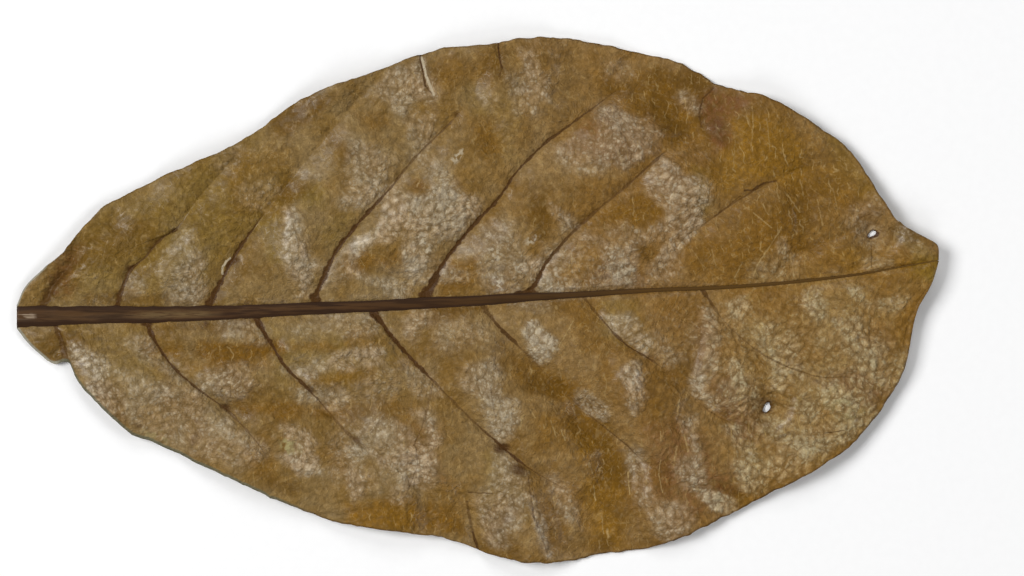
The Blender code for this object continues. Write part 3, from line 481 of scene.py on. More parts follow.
# The rows from (6, -1.5), (-67.5, -6), (-84, 0) and (-10, -2.5) lie along the midrib and are painted shade
# beside it.
DARK_PATCHES = (
    (0.5, 1.2, 1.4, (6, -1.5), (18, -0.5)), (0.8, 1.2, 1.4, (-67.5, -6), (-50, -5)),
    (0.7, 1.2, 1.4, (-84, 0), (-58, 0.5)), (0.4, 2, 2.6, (4, 50.5), (7, 47.5)),
    (0.4, 2, 2.6, (46.5, 50.5), (51, 47.5)), (0.4, 1.8, 2.4, (-40.5, 40), (-36, 42)),
    (0.35, 2, 2.6, (4, -45), (6.5, -47.5)), (0.4, 1.6, 2.4, (3, -53.5), (7.5, -55.5)),
    (0.35, 1.8, 2.4, (-56.5, -21), (-53, -18.5)), (0.35, 1.8, 2.6, (-83.5, -18.5), (-79, -21.5)),
    (0.5, 2, 0, (2, 53.5), (7.5, 54), (8.5, 47), (3, 45.5)),
    (0.75, 2, 0, (35.5, 51.5), (46.5, 50), (52, 47), (48.5, 45), (37.5, 47)),
    (0.75, 2, 2.6, (-41.5, 38.5), (-35.5, 42.5)), (0.3, 3, 4, (63.5, 34.5), (69, 30.5)),
    (0.3, 2.2, 3, (-83.5, -9), (-77, -11)), (0.4, 2, 2.6, (-66.5, -10), (-54.5, -11)),
    (0.3, 1.8, 3, (4, -11.5), (14, -14.5)), (0.4, 2, 3, (3, -18.5), (7, -21)),
    (0.75, 1.8, 2.6, (29.5, -35), (33, -39)), (0.35, 1.8, 2.6, (38.5, -35), (41.5, -38.5)),
    (0.45, 1.6, 2.2, (37.5, -53.5), (42.5, -53)), (0.3, 2, 2.6, (29.5, 35), (33.5, 31)),
    (0.35, 1.4, 1.8, (-64, 5), (-62, 8)), (0.6, 0.5, 0.5, (58.5, 39)), (0.6, 0.6, 0.7, (62, 36.5)),
    (0.6, 0.5, 0.5, (60.5, 33)), (0.4, 1.4, 2, (-77, 18), (-75.5, 16)),
    (0.5, 1.2, 1.6, (-61, 1), (-57, 0.5)), (0.3, 1.6, 2.2, (-75.5, 5), (-72.5, 6.5)),
    (0.4, 1.4, 2, (-19.5, -4), (-16, -6.5)), (0.35, 1.6, 2.2, (-0.5, 13), (2.5, 14.5)),
    (0.4, 1.4, 2, (7.5, -29.5), (10.5, -32.5)), (0.4, 1.6, 2.4, (28, -38), (30.5, -47.5)),
    (0.45, 1.4, 2, (34.5, -47), (37, -50)), (0.45, 1.4, 2, (3.5, -47.5), (6.5, -53)),
    (0.4, 1.2, 1.8, (54, -25.5), (56, -27)), (0.4, 1.2, 1.6, (62.5, -27), (66, -30)),
    (0.4, 1.2, 1.6, (-53, -22.5), (-50.5, -24.5)), (0.35, 1.4, 1.8, (-67, -17.5), (-66, -20)),
    (0.4, 1.4, 1.8, (-88, -8.5), (-86, -11)), (0.35, 1.4, 1.8, (81.5, -16.5), (84.5, -18)),
    (0.3, 1.8, 2.6, (11, 51.5), (15.5, 49.5)), (0.5, 1.6, 2.4, (-14, 51), (-11.5, 48)),
    (0.3, 1.8, 2.6, (29.5, 39.5), (32.5, 34)), (0.3, 1.6, 2.2, (38.5, 24), (41.5, 25)),
    (0.45, 1.6, 2.4, (-13.5, 24.5), (-10.5, 23.5)), (1, 1.6, 2.4, (90.5, 14.5), (93.5, 13.5)),
    (0.35, 1.4, 0, (-99, -5.5), (-92.5, -6), (-90, -10), (-90.5, -13.5), (-94.5, -11.5), (-98, -8)),
    (0.35, 1.6, 2.4, (48.5, 51.5), (51, 48.5)), (0.5, 1.6, 2, (12.5, 25.5), (15, 24)),
    (0.3, 1.6, 2.4, (3.5, 50.5), (6, 48.5)), (0.5, 1.4, 1.6, (50, 43.5), (52.5, 38.5), (53, 33.5)),
    (0.35, 2, 3, (57, 43.5), (67, 39.5)), (0.5, 2, 2.4, (48.5, 32.5), (51, 29.5)),
    (0.8, 1.8, 2.4, (-30.5, 34.5), (-27.5, 31)), (0.8, 1.8, 2.4, (-40, 23), (-37, 24.5)),
    (0.5, 1.8, 2.4, (-56.5, 4), (-53, 7)), (0.5, 1.8, 2.4, (-91.5, 5.5), (-88, 7)),
    (0.9, 1.4, 2.4, (-83.5, -20), (-77, -25)), (0.35, 1.6, 2.4, (-49.5, -26), (-45, -29.5)),
    (0.35, 1.6, 2.4, (-13, -10), (-7, -13)), (0.95, 1.6, 2.6, (5, -47), (7.5, -44.5)),
    (0.65, 1.6, 2.6, (21.5, -53.5), (27, -53)), (0.6, 1.6, 2.2, (27.5, 30.5), (31.5, 31.5)),
    (0.3, 1.6, 2.2, (93.5, 13), (97, 11.5)), (0.25, 1.6, 2.2, (-5.5, -28), (-3, -31.5)),
    (0.4, 1.6, 2.4, (-97.5, -7), (-92.5, -11.5)), (0.4, 1.6, 2.4, (46.5, 50.5), (49.5, 47.5)),
    (0.35, 1.6, 2.6, (3, 52.5), (5.5, 47.5)), (0.3, 1.6, 2.6, (-40.5, 39), (-35, 41.5)),
    (1, 1.4, 1.8, (-10, -2.5), (0.5, -1.5)), (0.85, 1.6, 2.4, (11.5, -18), (16, -20)),
    (0.3, 1.6, 2.4, (28.5, -44.5), (33, -47.5)), (0.35, 1.4, 1.6, (2, -54), (7.5, -55.5)),
    (0.6, 1.4, 2, (-38.5, 40), (-31.5, 44)), (0.8, 1.8, 3, (-90, -10), (-86, -12)),
    (0.45, 1.8, 2.6, (-68.5, -21), (-65, -22)), (0.85, 1.6, 2.4, (-55, -19), (-48, -20)),
    (0.55, 1.6, 2.2, (-26.5, -25.5), (-19, -25)),
    (0.45, 2, 0, (-1.5, 14), (6, 15.5), (6.5, 11.5), (-1, 11)), (0.4, 1.8, 2.2, (5, 4.5), (7.5, 3)),
    (0.95, 1.4, 2, (4, -49), (7.5, -53.5)), (0.5, 1.4, 2, (-12, 50.5), (-10.5, 47)),
    (0.4, 2, 0, (29, 46.5), (42, 46), (44, 39.5), (35.5, 40)),
    (1, 1.2, 1.8, (48, 42.5), (49.5, 38.5), (51, 35.5)), (0.4, 1.4, 1.8, (36, 25.5), (39, 26)),
    (0.35, 2, 3, (68.5, 17), (71.5, 17)), (0.5, 1.6, 2, (40.5, -50.5), (45, -50)),
    (0.4, 1.4, 1.6, (9.5, -4), (11.5, -5)), (0.4, 1.6, 2, (-96.5, -9.5), (-93.5, -12)),
    (0.6, 2.4, 0, (-93.5, 1), (-90, 8), (-86, 13), (-79.5, 17), (-68.5, 16.5), (-67.5, 12), (-77, 8),
     (-83.5, 6.5), (-88, 1.5)),
    (0.6, 1.4, 1.4, (-90, 8), (-87, 9.5)),
    (0.6, 1.4, 0, (-47.5, -38), (-38, -40), (-38, -43.5), (-46.5, -40.5)),
    (0.5, 1.4, 1.6, (-38, 40.5), (-37, 39)), (0.4, 1.4, 1.6, (-27.5, 46), (-25.5, 45)),
    (0.9, 1.2, 0, (11.5, 23.5), (15, 22.5), (16.5, 18.5), (16, 13.5), (13.5, 13), (12, 16.5), (11, 20.5)),
    (0.6, 1.2, 0, (18, 26), (20.5, 24.5), (21.5, 20), (19, 21)), (0.6, 1.2, 2.2, (36, 10.5)),
    (0.5, 2, 0, (17, 55), (21.5, 55), (22.5, 41), (19, 39), (16.5, 45.5)),
    (0.8, 0.7, 0.8, (40, 50.5), (38.5, 44)), (0.8, 1.8, 3.4, (43, 37)),
    (0.35, 2, 2.4, (32, 46), (48.5, 43.5)), (1, 1.2, 2.4, (27, -29.5)),
    (0.5, 1.8, 4, (24.5, -26), (29.5, -37)),
    (0.5, 1.6, 0, (36.5, -14), (46.5, -13), (48.5, -18.5), (44, -28), (38.5, -28), (36.5, -21.5)),
    (0.6, 2, 0, (66, 23), (70, 24), (74.5, 20.5), (72.5, 15), (70, 13), (67, 16.5)),
    (0.5, 1.4, 2, (72, 24.5), (77, 24.5)), (0.9, 0.8, 1.2, (53, -40.5), (54.5, -41)),
    (0.7, 0.8, 1.2, (56, -41), (56, -43)), (0.4, 1.6, 2.4, (48, -27), (49.5, -34)),
    (0.5, 1.2, 1.8, (46, -10), (46, -15.5)),
    (0.5, 1.6, 0, (76.5, -32), (80, -29.5), (82, -30), (79, -32.5)), (0.5, 1, 1.2, (70.5, 14.5)),
    (0.5, 1.2, 1.4, (7.5, -37), (10.5, -37.5)),
)
OLIVE_PATCHES = (
    (1, 2, 3, (97, 8), (102.5, 5.5)), (0.9, 2, 3, (-46.5, 24), (-36, 23)),
    (0.4, 2, 3, (-31.5, 13), (-28.5, 16)), (0.5, 2, 0, (-69, 14.5), (-62, 15.5), (-61, 8), (-68.5, 7.5)),
    (0.7, 1.6, 0, (-47.5, 18.5), (-41.5, 19), (-41, 9), (-46.5, 8.5)),
    (0.35, 1.6, 0, (-3, 47), (5, 47), (6, 39.5), (-1.5, 39.5)),
    (0.4, 1.6, 0, (-99, -6.5), (-94.5, -7.5), (-90.5, -12.5), (-93.5, -12.5)),
    (0.55, 5, 0, (-92.5, 2), (-81.5, 20), (-64, 28.5), (-47, 36.5), (-41.5, 30.5), (-42.5, 21.5),
     (-53.5, 8.5), (-56.5, 0), (-90, 0)),
    (0.5, 3, 0, (-46.5, -5.5), (-20, -5), (-18.5, -10), (-20, -19.5), (-43.5, -19.5)),
    (0.5, 1.2, 0, (46.5, 29.5), (49.5, 28), (51.5, 18.5), (49, 17.5), (47.5, 24)),
    (0.8, 1.6, 0, (90, 16.5), (97, 13), (99.5, 10), (95, 9), (90.5, 12)), (1, 0.6, 1, (83.5, -24)),
    (0.5, 1.6, 0, (27, 0), (35.5, 0), (38.5, -11), (35.5, -12), (27, -7.5)),
    (0.4, 2.4, 0, (-90, -6), (-73, -6), (-66.5, -17.5), (-75, -21.5), (-83.5, -16.5)),
    (0.5, 1.8, 0, (2.5, -34), (9.5, -37), (11, -47.5), (1, -46.5)),
    (0.25, 1.8, 0, (4, 52), (9.5, 44.5), (8.5, 32.5), (11.5, 29.5), (6, 29.5), (3, 41)),
    (0.65, 2.4, 0, (74.5, 39.5), (81, 32.5), (87.5, 23), (83, 21.5), (76.5, 32.5)),
)
ROSY_PATCHES = (
    (0.5, 2.4, 3.4, (29.5, 7), (33.5, 5.5)), (0.8, 2.4, 3.4, (56.5, -19.5), (58, -28.5)),
    (0.75, 2.4, 3.4, (81, -19), (85, -20)), (0.5, 2.4, 3.4, (56, -37), (48.5, -43.5)),
    (0.3, 1.5, 0, (36.5, 26.5), (41, 31), (45, 25), (41.5, 21.5)),
    (0.4, 3, 0, (35.5, -26), (48.5, -26), (53, -39), (40, -43.5)),
    (0.8, 1.2, 0, (48.5, 44), (52, 46), (61, 44), (57.5, 40.5), (54.5, 39.5), (55, 33), (52, 31.5),
     (49.5, 38.5)),
    (0.6, 0.6, 0.7, (51.5, 32)), (0.5, 1.6, 2.6, (-88.5, 8), (-90, 3.5)),
    (0.5, 2.4, 0, (27, 41.5), (37.5, 39), (41, 36), (32, 28), (18, 32.5)),
    (0.35, 3, 0, (35.5, -28), (53, -28), (56, -43.5), (46.5, -51), (37.5, -43.5)),
    (0.4, 2, 0, (48.5, -2), (53, -4.5), (53, -24), (48.5, -24)),
    (0.4, 3, 0, (77.5, -6.5), (88.5, -7.5), (89.5, -17.5), (81, -17.5)),
    (0.35, 2, 0, (-16.5, -26), (-8, -26), (-7, -39), (-14.5, -39)),
)
AMBER_PATCHES = (
    (0.75, 3, 0, (55, 40.5), (67, 40.5), (72.5, 32.5), (70, 25.5), (59, 26), (53, 22.5), (52, 30.5)),
    (0.5, 2, 2.6, (70, 28.5), (79, 24)),
    (0.5, 1.8, 0, (20.5, -28), (29.5, -30.5), (33, -41), (31, -53), (24.5, -53.5), (23, -39)),
    (0.4, 2, 0, (-28.5, -45), (-16.5, -44.5), (-12, -46), (-14.5, -50.5), (-27.5, -48)),
    (0.35, 1.6, 2, (26, -24), (28, -28.5)), (0.4, 1.6, 2, (81, 8), (97, 8)),
    (0.7, 1.6, 1.8, (18, 5.5), (27, 10)),
)
MOULD_PATCHES = (
    (0.7, 0.5, 0.9, (-41, -32), (-39, -32)), (0.7, 0.5, 0.6, (-41.5, -31)), (0.5, 0.5, 0.5, (84.5, -26)),
    (0.35, 1, 1, (-72, -29), (-67, -30.5)), (0.35, 1.6, 1.6, (77.5, -21.5), (81, -25)),
)
KNOT_PATCHES = (
    (0.35, 0.5, 0.9, (51.9, 38.6), (53.2, 34.7)), (0.4, 0.4, 0.5, (52.3, 32.5)),
    (0.5, 0.3, 0.35, (89.6, 15.7)), (0.6, 0.3, 0.3, (87.3, 15.4), (88.1, 15)),
    (0.6, 0.3, 0.3, (62.3, -21.7), (63.2, -21.5)), (0.8, 0.3, 0.35, (-58.8, -4.8), (-58.8, -5.6)),
    (0.7, 0.3, 0.3, (-38, -3.5), (-38, -3.9)), (0.7, 0.3, 0.3, (-32.2, -3), (-32.2, -3.7)),
    (0.7, 0.3, 0.3, (-42.1, -0.4), (-41.9, 0)), (0.6, 0.3, 0.3, (-49.9, -0.9), (-49.7, -0.4)),
    (0.6, 0.3, 0.3, (-22.6, -2.8), (-22.6, -3.3)), (0.6, 0.3, 0.3, (89.2, 16), (89.4, 15.2)),
    (0.9, 0.4, 0.55, (-75.5, 6.9), (-74.4, 7.4)), (0.5, 0.8, 0.7, (-71, 11.1), (-67.9, 14.1)),
    (0.7, 0.4, 0.5, (-66.2, 15), (-65.3, 15.2)), (0.8, 0.4, 0.6, (-53, 8.5), (-51.9, 8.9)),
    (0.8, 0.4, 0.6, (-27.2, 15.8), (-25.7, 16.3)), (0.9, 0.4, 0.75, (-4.4, 40.3)),
    (0.8, 0.4, 0.5, (-2.7, 13.9), (-2.1, 14.3)), (0.9, 0.4, 0.7, (4.9, -32.1), (6.4, -31.9)),
    (0.8, 0.5, 0.9, (8.8, -36.6), (9.6, -36.8)), (0.9, 0.4, 0.7, (-55.1, -23), (-54.1, -23.4)),
    (0.7, 0.5, 0.7, (-26.5, -30.1), (-25.7, -30.3)), (0.5, 0.4, 0.6, (-60.8, -26.2)),
    (0.6, 0.5, 0.8, (-61.6, -30.6), (-60.8, -29.5)), (0.5, 0.4, 0.6, (41.5, 37.3)),
    (0.6, 0.4, 0.5, (-36.3, -19.1), (-35.6, -19.5)), (0.5, 0.5, 0.6, (-74.2, -26.7), (-72.9, -27.5)),
    (0.5, 0.5, 0.5, (38.2, -12.6), (39.1, -12.8)), (0.5, 0.4, 0.5, (35.4, -32.3), (36.3, -32.7)),
)
# Painted glints: light spots where the wax reflects the light. They also make the blade glossier there.
PAINTED_GLINT_PATCHES = (
    (1, 0.3, 0.3, (87.6, 15)), (1, 0.6, 0.9, (-12, 13.4), (-10.3, 10.4)), (0.8, 0.5, 0.6, (-18.3, 15.6)),
    (0.8, 0.5, 0.6, (-14.2, 16.7)), (0.3, 0.5, 0.7, (-26.5, 9.8), (-25.2, 10.8)),
    (0.8, 0.5, 0.6, (-2.7, 32.5), (-4.7, 30.3)), (0.9, 0.5, 0.7, (4.4, 4.8), (5.1, 2.8)),
    (0.8, 0.5, 0.6, (3.4, 10.8), (4.4, 9.5)), (0.8, 0.5, 0.7, (9.6, 6.9)),
    (0.8, 0.5, 0.6, (11.6, 12.6), (12.5, 13.4)), (0.7, 0.5, 0.6, (17.4, 6.5), (18.1, 5.2)),
    (0.8, 0.5, 0.7, (32.4, 7.6), (33.9, 6.5)), (0.6, 0.5, 0.5, (29.4, 10.4), (31.1, 9.5)),
    (0.7, 0.4, 0.5, (38.7, 14.7), (39.5, 16)), (0.8, 0.4, 0.7, (12, -5)),
    (0.7, 0.5, 0.6, (14.8, -6.9), (17.2, -10.4)), (0.6, 0.4, 0.5, (-12.9, -4.6)),
    (0.7, 0.4, 0.5, (-12.7, -36.2)), (0.6, 0.4, 0.5, (6.8, -27.5)), (0.7, 0.4, 0.6, (59.7, -33.2)),
    (0.6, 0.4, 0.6, (48, -17.8), (48.2, -19.1)), (0.5, 0.4, 0.5, (-8.1, 14.3), (-7.7, 13)),
    (0.7, 0.4, 0.4, (33.3, -17.3), (34.6, -15.6)), (0.5, 0.4, 0.5, (-22.6, 13), (-21.3, 13.9)),
)
PATCHES = tuple(
    Patch(tone, strength, soft, reach, tuple(points))
    for tone, rows in (
        (Tone.PALE, PAINTED_SHEEN_PATCHES), (Tone.OCHRE, OCHRE_PATCHES), (Tone.DARK, DARK_PATCHES),
        (Tone.OLIVE, OLIVE_PATCHES), (Tone.ROSY, ROSY_PATCHES), (Tone.AMBER, AMBER_PATCHES),
        (Tone.MOULD, MOULD_PATCHES), (Tone.KNOT, KNOT_PATCHES), (Tone.GLINT, PAINTED_GLINT_PATCHES),
    )
    for strength, soft, reach, *points in rows
)


def smooth(knots: np.ndarray, values: np.ndarray, at: np.ndarray) -> np.ndarray:
    """Reads a curve that passes through every knot without a corner.

    Args:
        knots: the places along the curve that have a value.
        values: the value of each, which may be a point or a whole row.
        at: the places to read.

    Returns:
        The value at each place.
    """
    knots, values, at = (np.asarray(given, float) for given in (knots, values, at))
    slopes = np.gradient(values, knots, axis=0)
    left = np.clip(np.searchsorted(knots, at, side="right") - 1, 0, len(knots) - 2)
    wider = (...,) + (None,) * (values.ndim - 1)
    span = (knots[left + 1] - knots[left])[wider]
    share = ((at - knots[left])[wider]) / span
    rest = 1 - share
    ends = values[left] * (1 + 2 * share) * rest**2 + values[left + 1] * (3 - 2 * share) * share**2
    return ends + span * share * rest * (slopes[left] * rest - slopes[left + 1] * share)


def step(value: np.ndarray, low: float, high: float) -> np.ndarray:
    """0 below low, 1 above high, and a smooth rise between them."""
    share = np.clip((value - low) / (high - low), 0, 1)
    return share * share * (3 - 2 * share)


def hill(distance: np.ndarray, reach: float) -> np.ndarray:
    """1 at no distance, falling smoothly to almost nothing at twice the reach."""
    return np.exp(-((distance / reach) ** 2))


def distance_to_line(x: np.ndarray, y: np.ndarray, start: tuple, end: tuple) -> np.ndarray:
    """How far each place is from a straight line between two points.

    Args:
        x: the places along the leaf.
        y: the places across it.
        start: one end of the line.
        end: the other end.

    Returns:
        The distance of each.
    """
    along_x, along_y = end[0] - start[0], end[1] - start[1]
    length = max(along_x**2 + along_y**2, 1e-9)
    share = np.clip(((x - start[0]) * along_x + (y - start[1]) * along_y) / length, 0, 1)
    return np.hypot(x - start[0] - share * along_x, y - start[1] - share * along_y)


def soft_noise(x: np.ndarray, y: np.ndarray, size: float, seed: int) -> np.ndarray:
    """Smooth random values from -1 to 1.

    Args:
        x: the places along the leaf.
        y: the places across it.
        size: how far apart the random values are.
        seed: which set of random values is used.

    Returns:
        The value at each place.
    """
    lattice = np.random.default_rng(seed).uniform(-1, 1, (256, 256))
    u, v = x / size + 97.3, y / size + 61.7
    i, j = np.floor(u).astype(int), np.floor(v).astype(int)
    s, t = step(u - i, 0, 1), step(v - j, 0, 1)
    near = lattice[i % 256, j % 256] * (1 - s) + lattice[(i + 1) % 256, j % 256] * s
    far = lattice[i % 256, (j + 1) % 256] * (1 - s) + lattice[(i + 1) % 256, (j + 1) % 256] * s
    return near * (1 - t) + far * t


def lengths_along(line: np.ndarray) -> np.ndarray:
    """How far each point of a line is from its start, along it."""
    return np.concatenate([[0], np.cumsum(np.linalg.norm(np.diff(line, axis=0), axis=1))])


def midrib_middle(x: np.ndarray) -> np.ndarray:
    """How far the midrib's middle line lies from the frame's X axis."""
    line = np.array(MIDRIB_LINE, float)
    return smooth(line[:, 0], line[:, 1], x)


def midrib_width(x: np.ndarray) -> np.ndarray:
    """How wide the midrib is at its place along the leaf."""
    widths = np.array(MIDRIB_WIDTHS, float)
    return smooth(widths[:, 0], widths[:, 1], x)


def midrib_taper(x: np.ndarray) -> np.ndarray:
    """How thick the midrib is, against its thickness at the base."""
    return (midrib_width(x) / MIDRIB_WIDTHS[0][1]) ** 0.7


def net_edges(places: np.ndarray) -> np.ndarray:
    """How far each place in the net is from the nearest edge of its cell.

    The same cells are drawn in the blade's material, so that the raised pads and the drawn cracks
    lie on each other.

    Args:
        places: net places in cells, one row each.

    Returns:
        The distance of each, in cells.
    """
    cloud = bpy.data.meshes.new("net_places")
    cloud.vertices.add(len(places))
    flat = np.zeros((len(places), 3), np.float32)
    flat[:, :2] = places
    cloud.vertices.foreach_set("co", flat.ravel())
    carrier = bpy.data.objects.new("net_places", cloud)
    bpy.context.scene.collection.objects.link(carrier)
    tree = bpy.data.node_groups.new("net_edges", "GeometryNodeTree")
    tree.interface.new_socket("Geometry", in_out="INPUT", socket_type="NodeSocketGeometry")
    tree.interface.new_socket("Geometry", in_out="OUTPUT", socket_type="NodeSocketGeometry")
    wiring = Wiring(tree)
    start, end = tree.nodes.new("NodeGroupInput"), tree.nodes.new("NodeGroupOutput")
    place = tree.nodes.new("GeometryNodeInputPosition").outputs[0]
    edge = wiring.net(place, 1.0)
    store = wiring.add(
        "GeometryNodeStoreNamedAttribute",
        {"Geometry": start.outputs[0], "Name": "edge", "Value": edge},
        data_type="FLOAT",
        domain="POINT",
    )
    tree.links.new(store.outputs[0], end.inputs[0])
    carrier.modifiers.new("net", "NODES").node_group = tree
    solved = carrier.evaluated_get(bpy.context.evaluated_depsgraph_get())
    distances = np.zeros(len(places), np.float32)
    solved.data.attributes["edge"].data.foreach_get("value", distances)
    bpy.data.objects.remove(carrier)
    bpy.data.meshes.remove(cloud)
    bpy.data.node_groups.remove(tree)
    return distances.astype(float)


@dataclass
class Wiring:
    """Adds nodes to a tree and joins them, so that a finish reads as one recipe."""

    tree: bpy.types.NodeTree

    def add(self, kind: str, inputs: dict, **settings) -> bpy.types.Node:
        """Adds one node.

        Args:
            kind: the node's type.
            inputs: for each input, by name or number, the socket that feeds it or its plain value.
            settings: the node's own settings.

        Returns:
            The new node.
        """
        node = self.tree.nodes.new(kind)
        for name, value in settings.items():
            setattr(node, name, value)
        for key, value in inputs.items():
            if isinstance(value, Socket):
                self.tree.links.new(value, node.inputs[key])
            else:
                node.inputs[key].default_value = value
        return node

    def math(self, operation: str, *values: Socket | float, clamp: bool = False) -> Socket:
        """The result of one sum on numbers."""
        inputs = dict(enumerate(values))
        return self.add("ShaderNodeMath", inputs, operation=operation, use_clamp=clamp).outputs[0]

    def vector(self, operation: str, *values: Socket | tuple) -> Socket:
        """The result of one sum on vectors."""
        node = self.add("ShaderNodeVectorMath", dict(enumerate(values)), operation=operation)
        return node.outputs["Value" if operation in ("LENGTH", "DOT_PRODUCT") else "Vector"]

    def times(self, first: Socket | float, second: Socket | float) -> Socket:
        """The product of two numbers."""
        return self.math("MULTIPLY", first, second)

    def plus(self, first: Socket | float, second: Socket | float) -> Socket:
        """The sum of two numbers."""
        return self.math("ADD", first, second)

    def span(self, value: Socket, low: float, high: float, start: float = 0.0, end: float = 1.0) -> Socket:
        """Turns the span from low to high smoothly into the span from start to end."""
        inputs = {"Value": value, "From Min": low, "From Max": high, "To Min": start, "To Max": end}
        return self.add("ShaderNodeMapRange", inputs, interpolation_type="SMOOTHSTEP").outputs[0]

    def spread(self, noise: Socket, start: float = 0.0, end: float = 1.0) -> Socket:
        """Turns the span that noise mostly lies in smoothly into the span from start to end."""
        return self.span(noise, *NOISE_SPAN, start, end)

    def rest(self, value: Socket | float, clamp: bool = False) -> Socket:
        """What a number leaves of 1."""
        return self.math("SUBTRACT", 1.0, value, clamp=clamp)

    def scaled(self, place: Socket, factor: Socket | float) -> Socket:
        """A place or a direction, so many times as far from the origin."""
        inputs = {0: place, "Scale": factor}
        return self.add("ShaderNodeVectorMath", inputs, operation="SCALE").outputs[0]

    def grey(self, value: Socket) -> Socket:
        """A grey as bright as the value."""
        return self.add("ShaderNodeCombineColor", {0: value, 1: value, 2: value}).outputs[0]

    def colour(
        self, share: Socket | float, under: Socket | Colour, over: Socket | Colour, blend: str = "MIX"
    ) -> Socket:
        """Lays one colour over another.

        Args:
            share: how much of the upper colour is seen.
            under: the lower colour.
            over: the upper colour.
            blend: how the two are put together.

        Returns:
            The blended colour.
        """
        node = self.tree.nodes.new("ShaderNodeMix")
        node.data_type, node.blend_type, node.clamp_factor = "RGBA", blend, True
        for number, value in ((0, share), (6, under), (7, over)):
            if isinstance(value, Socket):
                self.tree.links.new(value, node.inputs[number])
            else:
                node.inputs[number].default_value = value if number == 0 else (*value, 1)
        return node.outputs[2]

    def noise(self, place: Socket, size: float, detail: float = 2.0, rough: float = 0.5) -> Socket:
        """Cloudy noise from 0 to 1, whose clouds are about size across."""
        inputs = {"Vector": place, "Scale": 1 / size, "Detail": detail, "Roughness": rough}
        return self.add("ShaderNodeTexNoise", inputs).outputs[0]

    def cells(self, place: Socket, scale: float, feature: str) -> bpy.types.Node:
        """Adds the flat Voronoi texture that divides the blade into the net's cells."""
        inputs = {"Vector": place, "Scale": scale, "Randomness": 1.0}
        return self.add("ShaderNodeTexVoronoi", inputs, voronoi_dimensions="2D", feature=feature)

    def net(self, place: Socket, scale: float) -> Socket:
        """How far a place is from the nearest edge of its cell in the net."""
        return self.cells(place, scale, "DISTANCE_TO_EDGE").outputs["Distance"]

    def cell(self, place: Socket, scale: float) -> Socket:
        """A random value from 0 to 1 for the cell of the net that a place is in."""
        shade = self.cells(place, scale, "F1").outputs["Color"]
        return self.add("ShaderNodeSeparateColor", {0: shade}).outputs[0]

    def mesh_value(self, name: str, output: str = "Fac") -> Socket:
        """A value that the mesh carries."""
        return self.add("ShaderNodeAttribute", {}, attribute_name=name).outputs[output]


def new_material(name: str) -> tuple[bpy.types.Material, Wiring, bpy.types.Node, Socket]:
    """Starts a material.

    Args:
        name: the material's name.

    Returns:
        The material, its wiring, its surface node and the place on the object, in metres.
    """
    material = bpy.data.materials.new(name)
    material.use_nodes = True
    tree = material.node_tree
    metres = tree.nodes.new("ShaderNodeTexCoord").outputs["Object"]
    return material, Wiring(tree), tree.nodes["Principled BSDF"], metres


@dataclass(frozen=True)
class Line:
    """A shader node group that draws a thin straight line on the leaf's plan."""

    name: str = "thin_line"

    def group(self) -> bpy.types.NodeTree:
        """Builds the group, or finds it where another finish has built it.

        Returns:
            The group.
        """
        if self.name in bpy.data.node_groups:
            return bpy.data.node_groups[self.name]
        tree = bpy.data.node_groups.new(self.name, "ShaderNodeTree")
        for name in ("Place", "Start", "Along"):
            tree.interface.new_socket(name, in_out="INPUT", socket_type="NodeSocketVector")
        for name in ("Width", "Strength"):
            tree.interface.new_socket(name, in_out="INPUT", socket_type="NodeSocketFloat")
        tree.interface.new_socket("Mask", in_out="OUTPUT", socket_type="NodeSocketFloat")
        wiring = Wiring(tree)
        given, result = tree.nodes.new("NodeGroupInput"), tree.nodes.new("NodeGroupOutput")
        place, start, along, width, strength = given.outputs[:5]
        away = wiring.vector("SUBTRACT", wiring.vector("MULTIPLY", place, (1, 1, 0)), start)
        length = wiring.vector("DOT_PRODUCT", along, along)
        share = wiring.math("DIVIDE", wiring.vector("DOT_PRODUCT", away, along), length, clamp=True)
        gap = wiring.vector("LENGTH", wiring.vector("SUBTRACT", away, wiring.scaled(along, share)))
        close = wiring.rest(wiring.math("DIVIDE", gap, width), clamp=True)
        mask = wiring.times(wiring.span(close, 0.0, 0.6), strength)
        tree.links.new(mask, result.inputs[0])
        return tree


@dataclass(frozen=True)
class Grain:
    """A shader node group for the dry, fibrous grain that the blade and the midrib share."""

    name: str = "dry_grain"

    def group(self) -> bpy.types.NodeTree:
        """Builds the group, or finds it where another finish has built it.

        Returns:
            The group.
        """
        if self.name in bpy.data.node_groups:
            return bpy.data.node_groups[self.name]
        tree = bpy.data.node_groups.new(self.name, "ShaderNodeTree")
        tree.interface.new_socket("Place", in_out="INPUT", socket_type="NodeSocketVector")
        for name in ("Coarse Size", "Fine Size"):
            tree.interface.new_socket(name, in_out="INPUT", socket_type="NodeSocketFloat")
        for name in ("Coarse", "Fine", "Height"):
            tree.interface.new_socket(name, in_out="OUTPUT", socket_type="NodeSocketFloat")
        wiring = Wiring(tree)
        given, result = tree.nodes.new("NodeGroupInput"), tree.nodes.new("NodeGroupOutput")
        place, coarse_size, fine_size = given.outputs[:3]
        coarse, fine = (
            wiring.add(
                "ShaderNodeTexNoise",
                {"Vector": place, "Scale": wiring.math("DIVIDE", 1.0, size), "Detail": detail},
            ).outputs[0]
            for size, detail in ((coarse_size, 3.0), (fine_size, 2.0))
        )
        height = wiring.plus(wiring.times(coarse, 0.6), wiring.times(fine, 0.4))
        for number, socket in enumerate((coarse, fine, height)):
            tree.links.new(socket, result.inputs[number])
        return tree


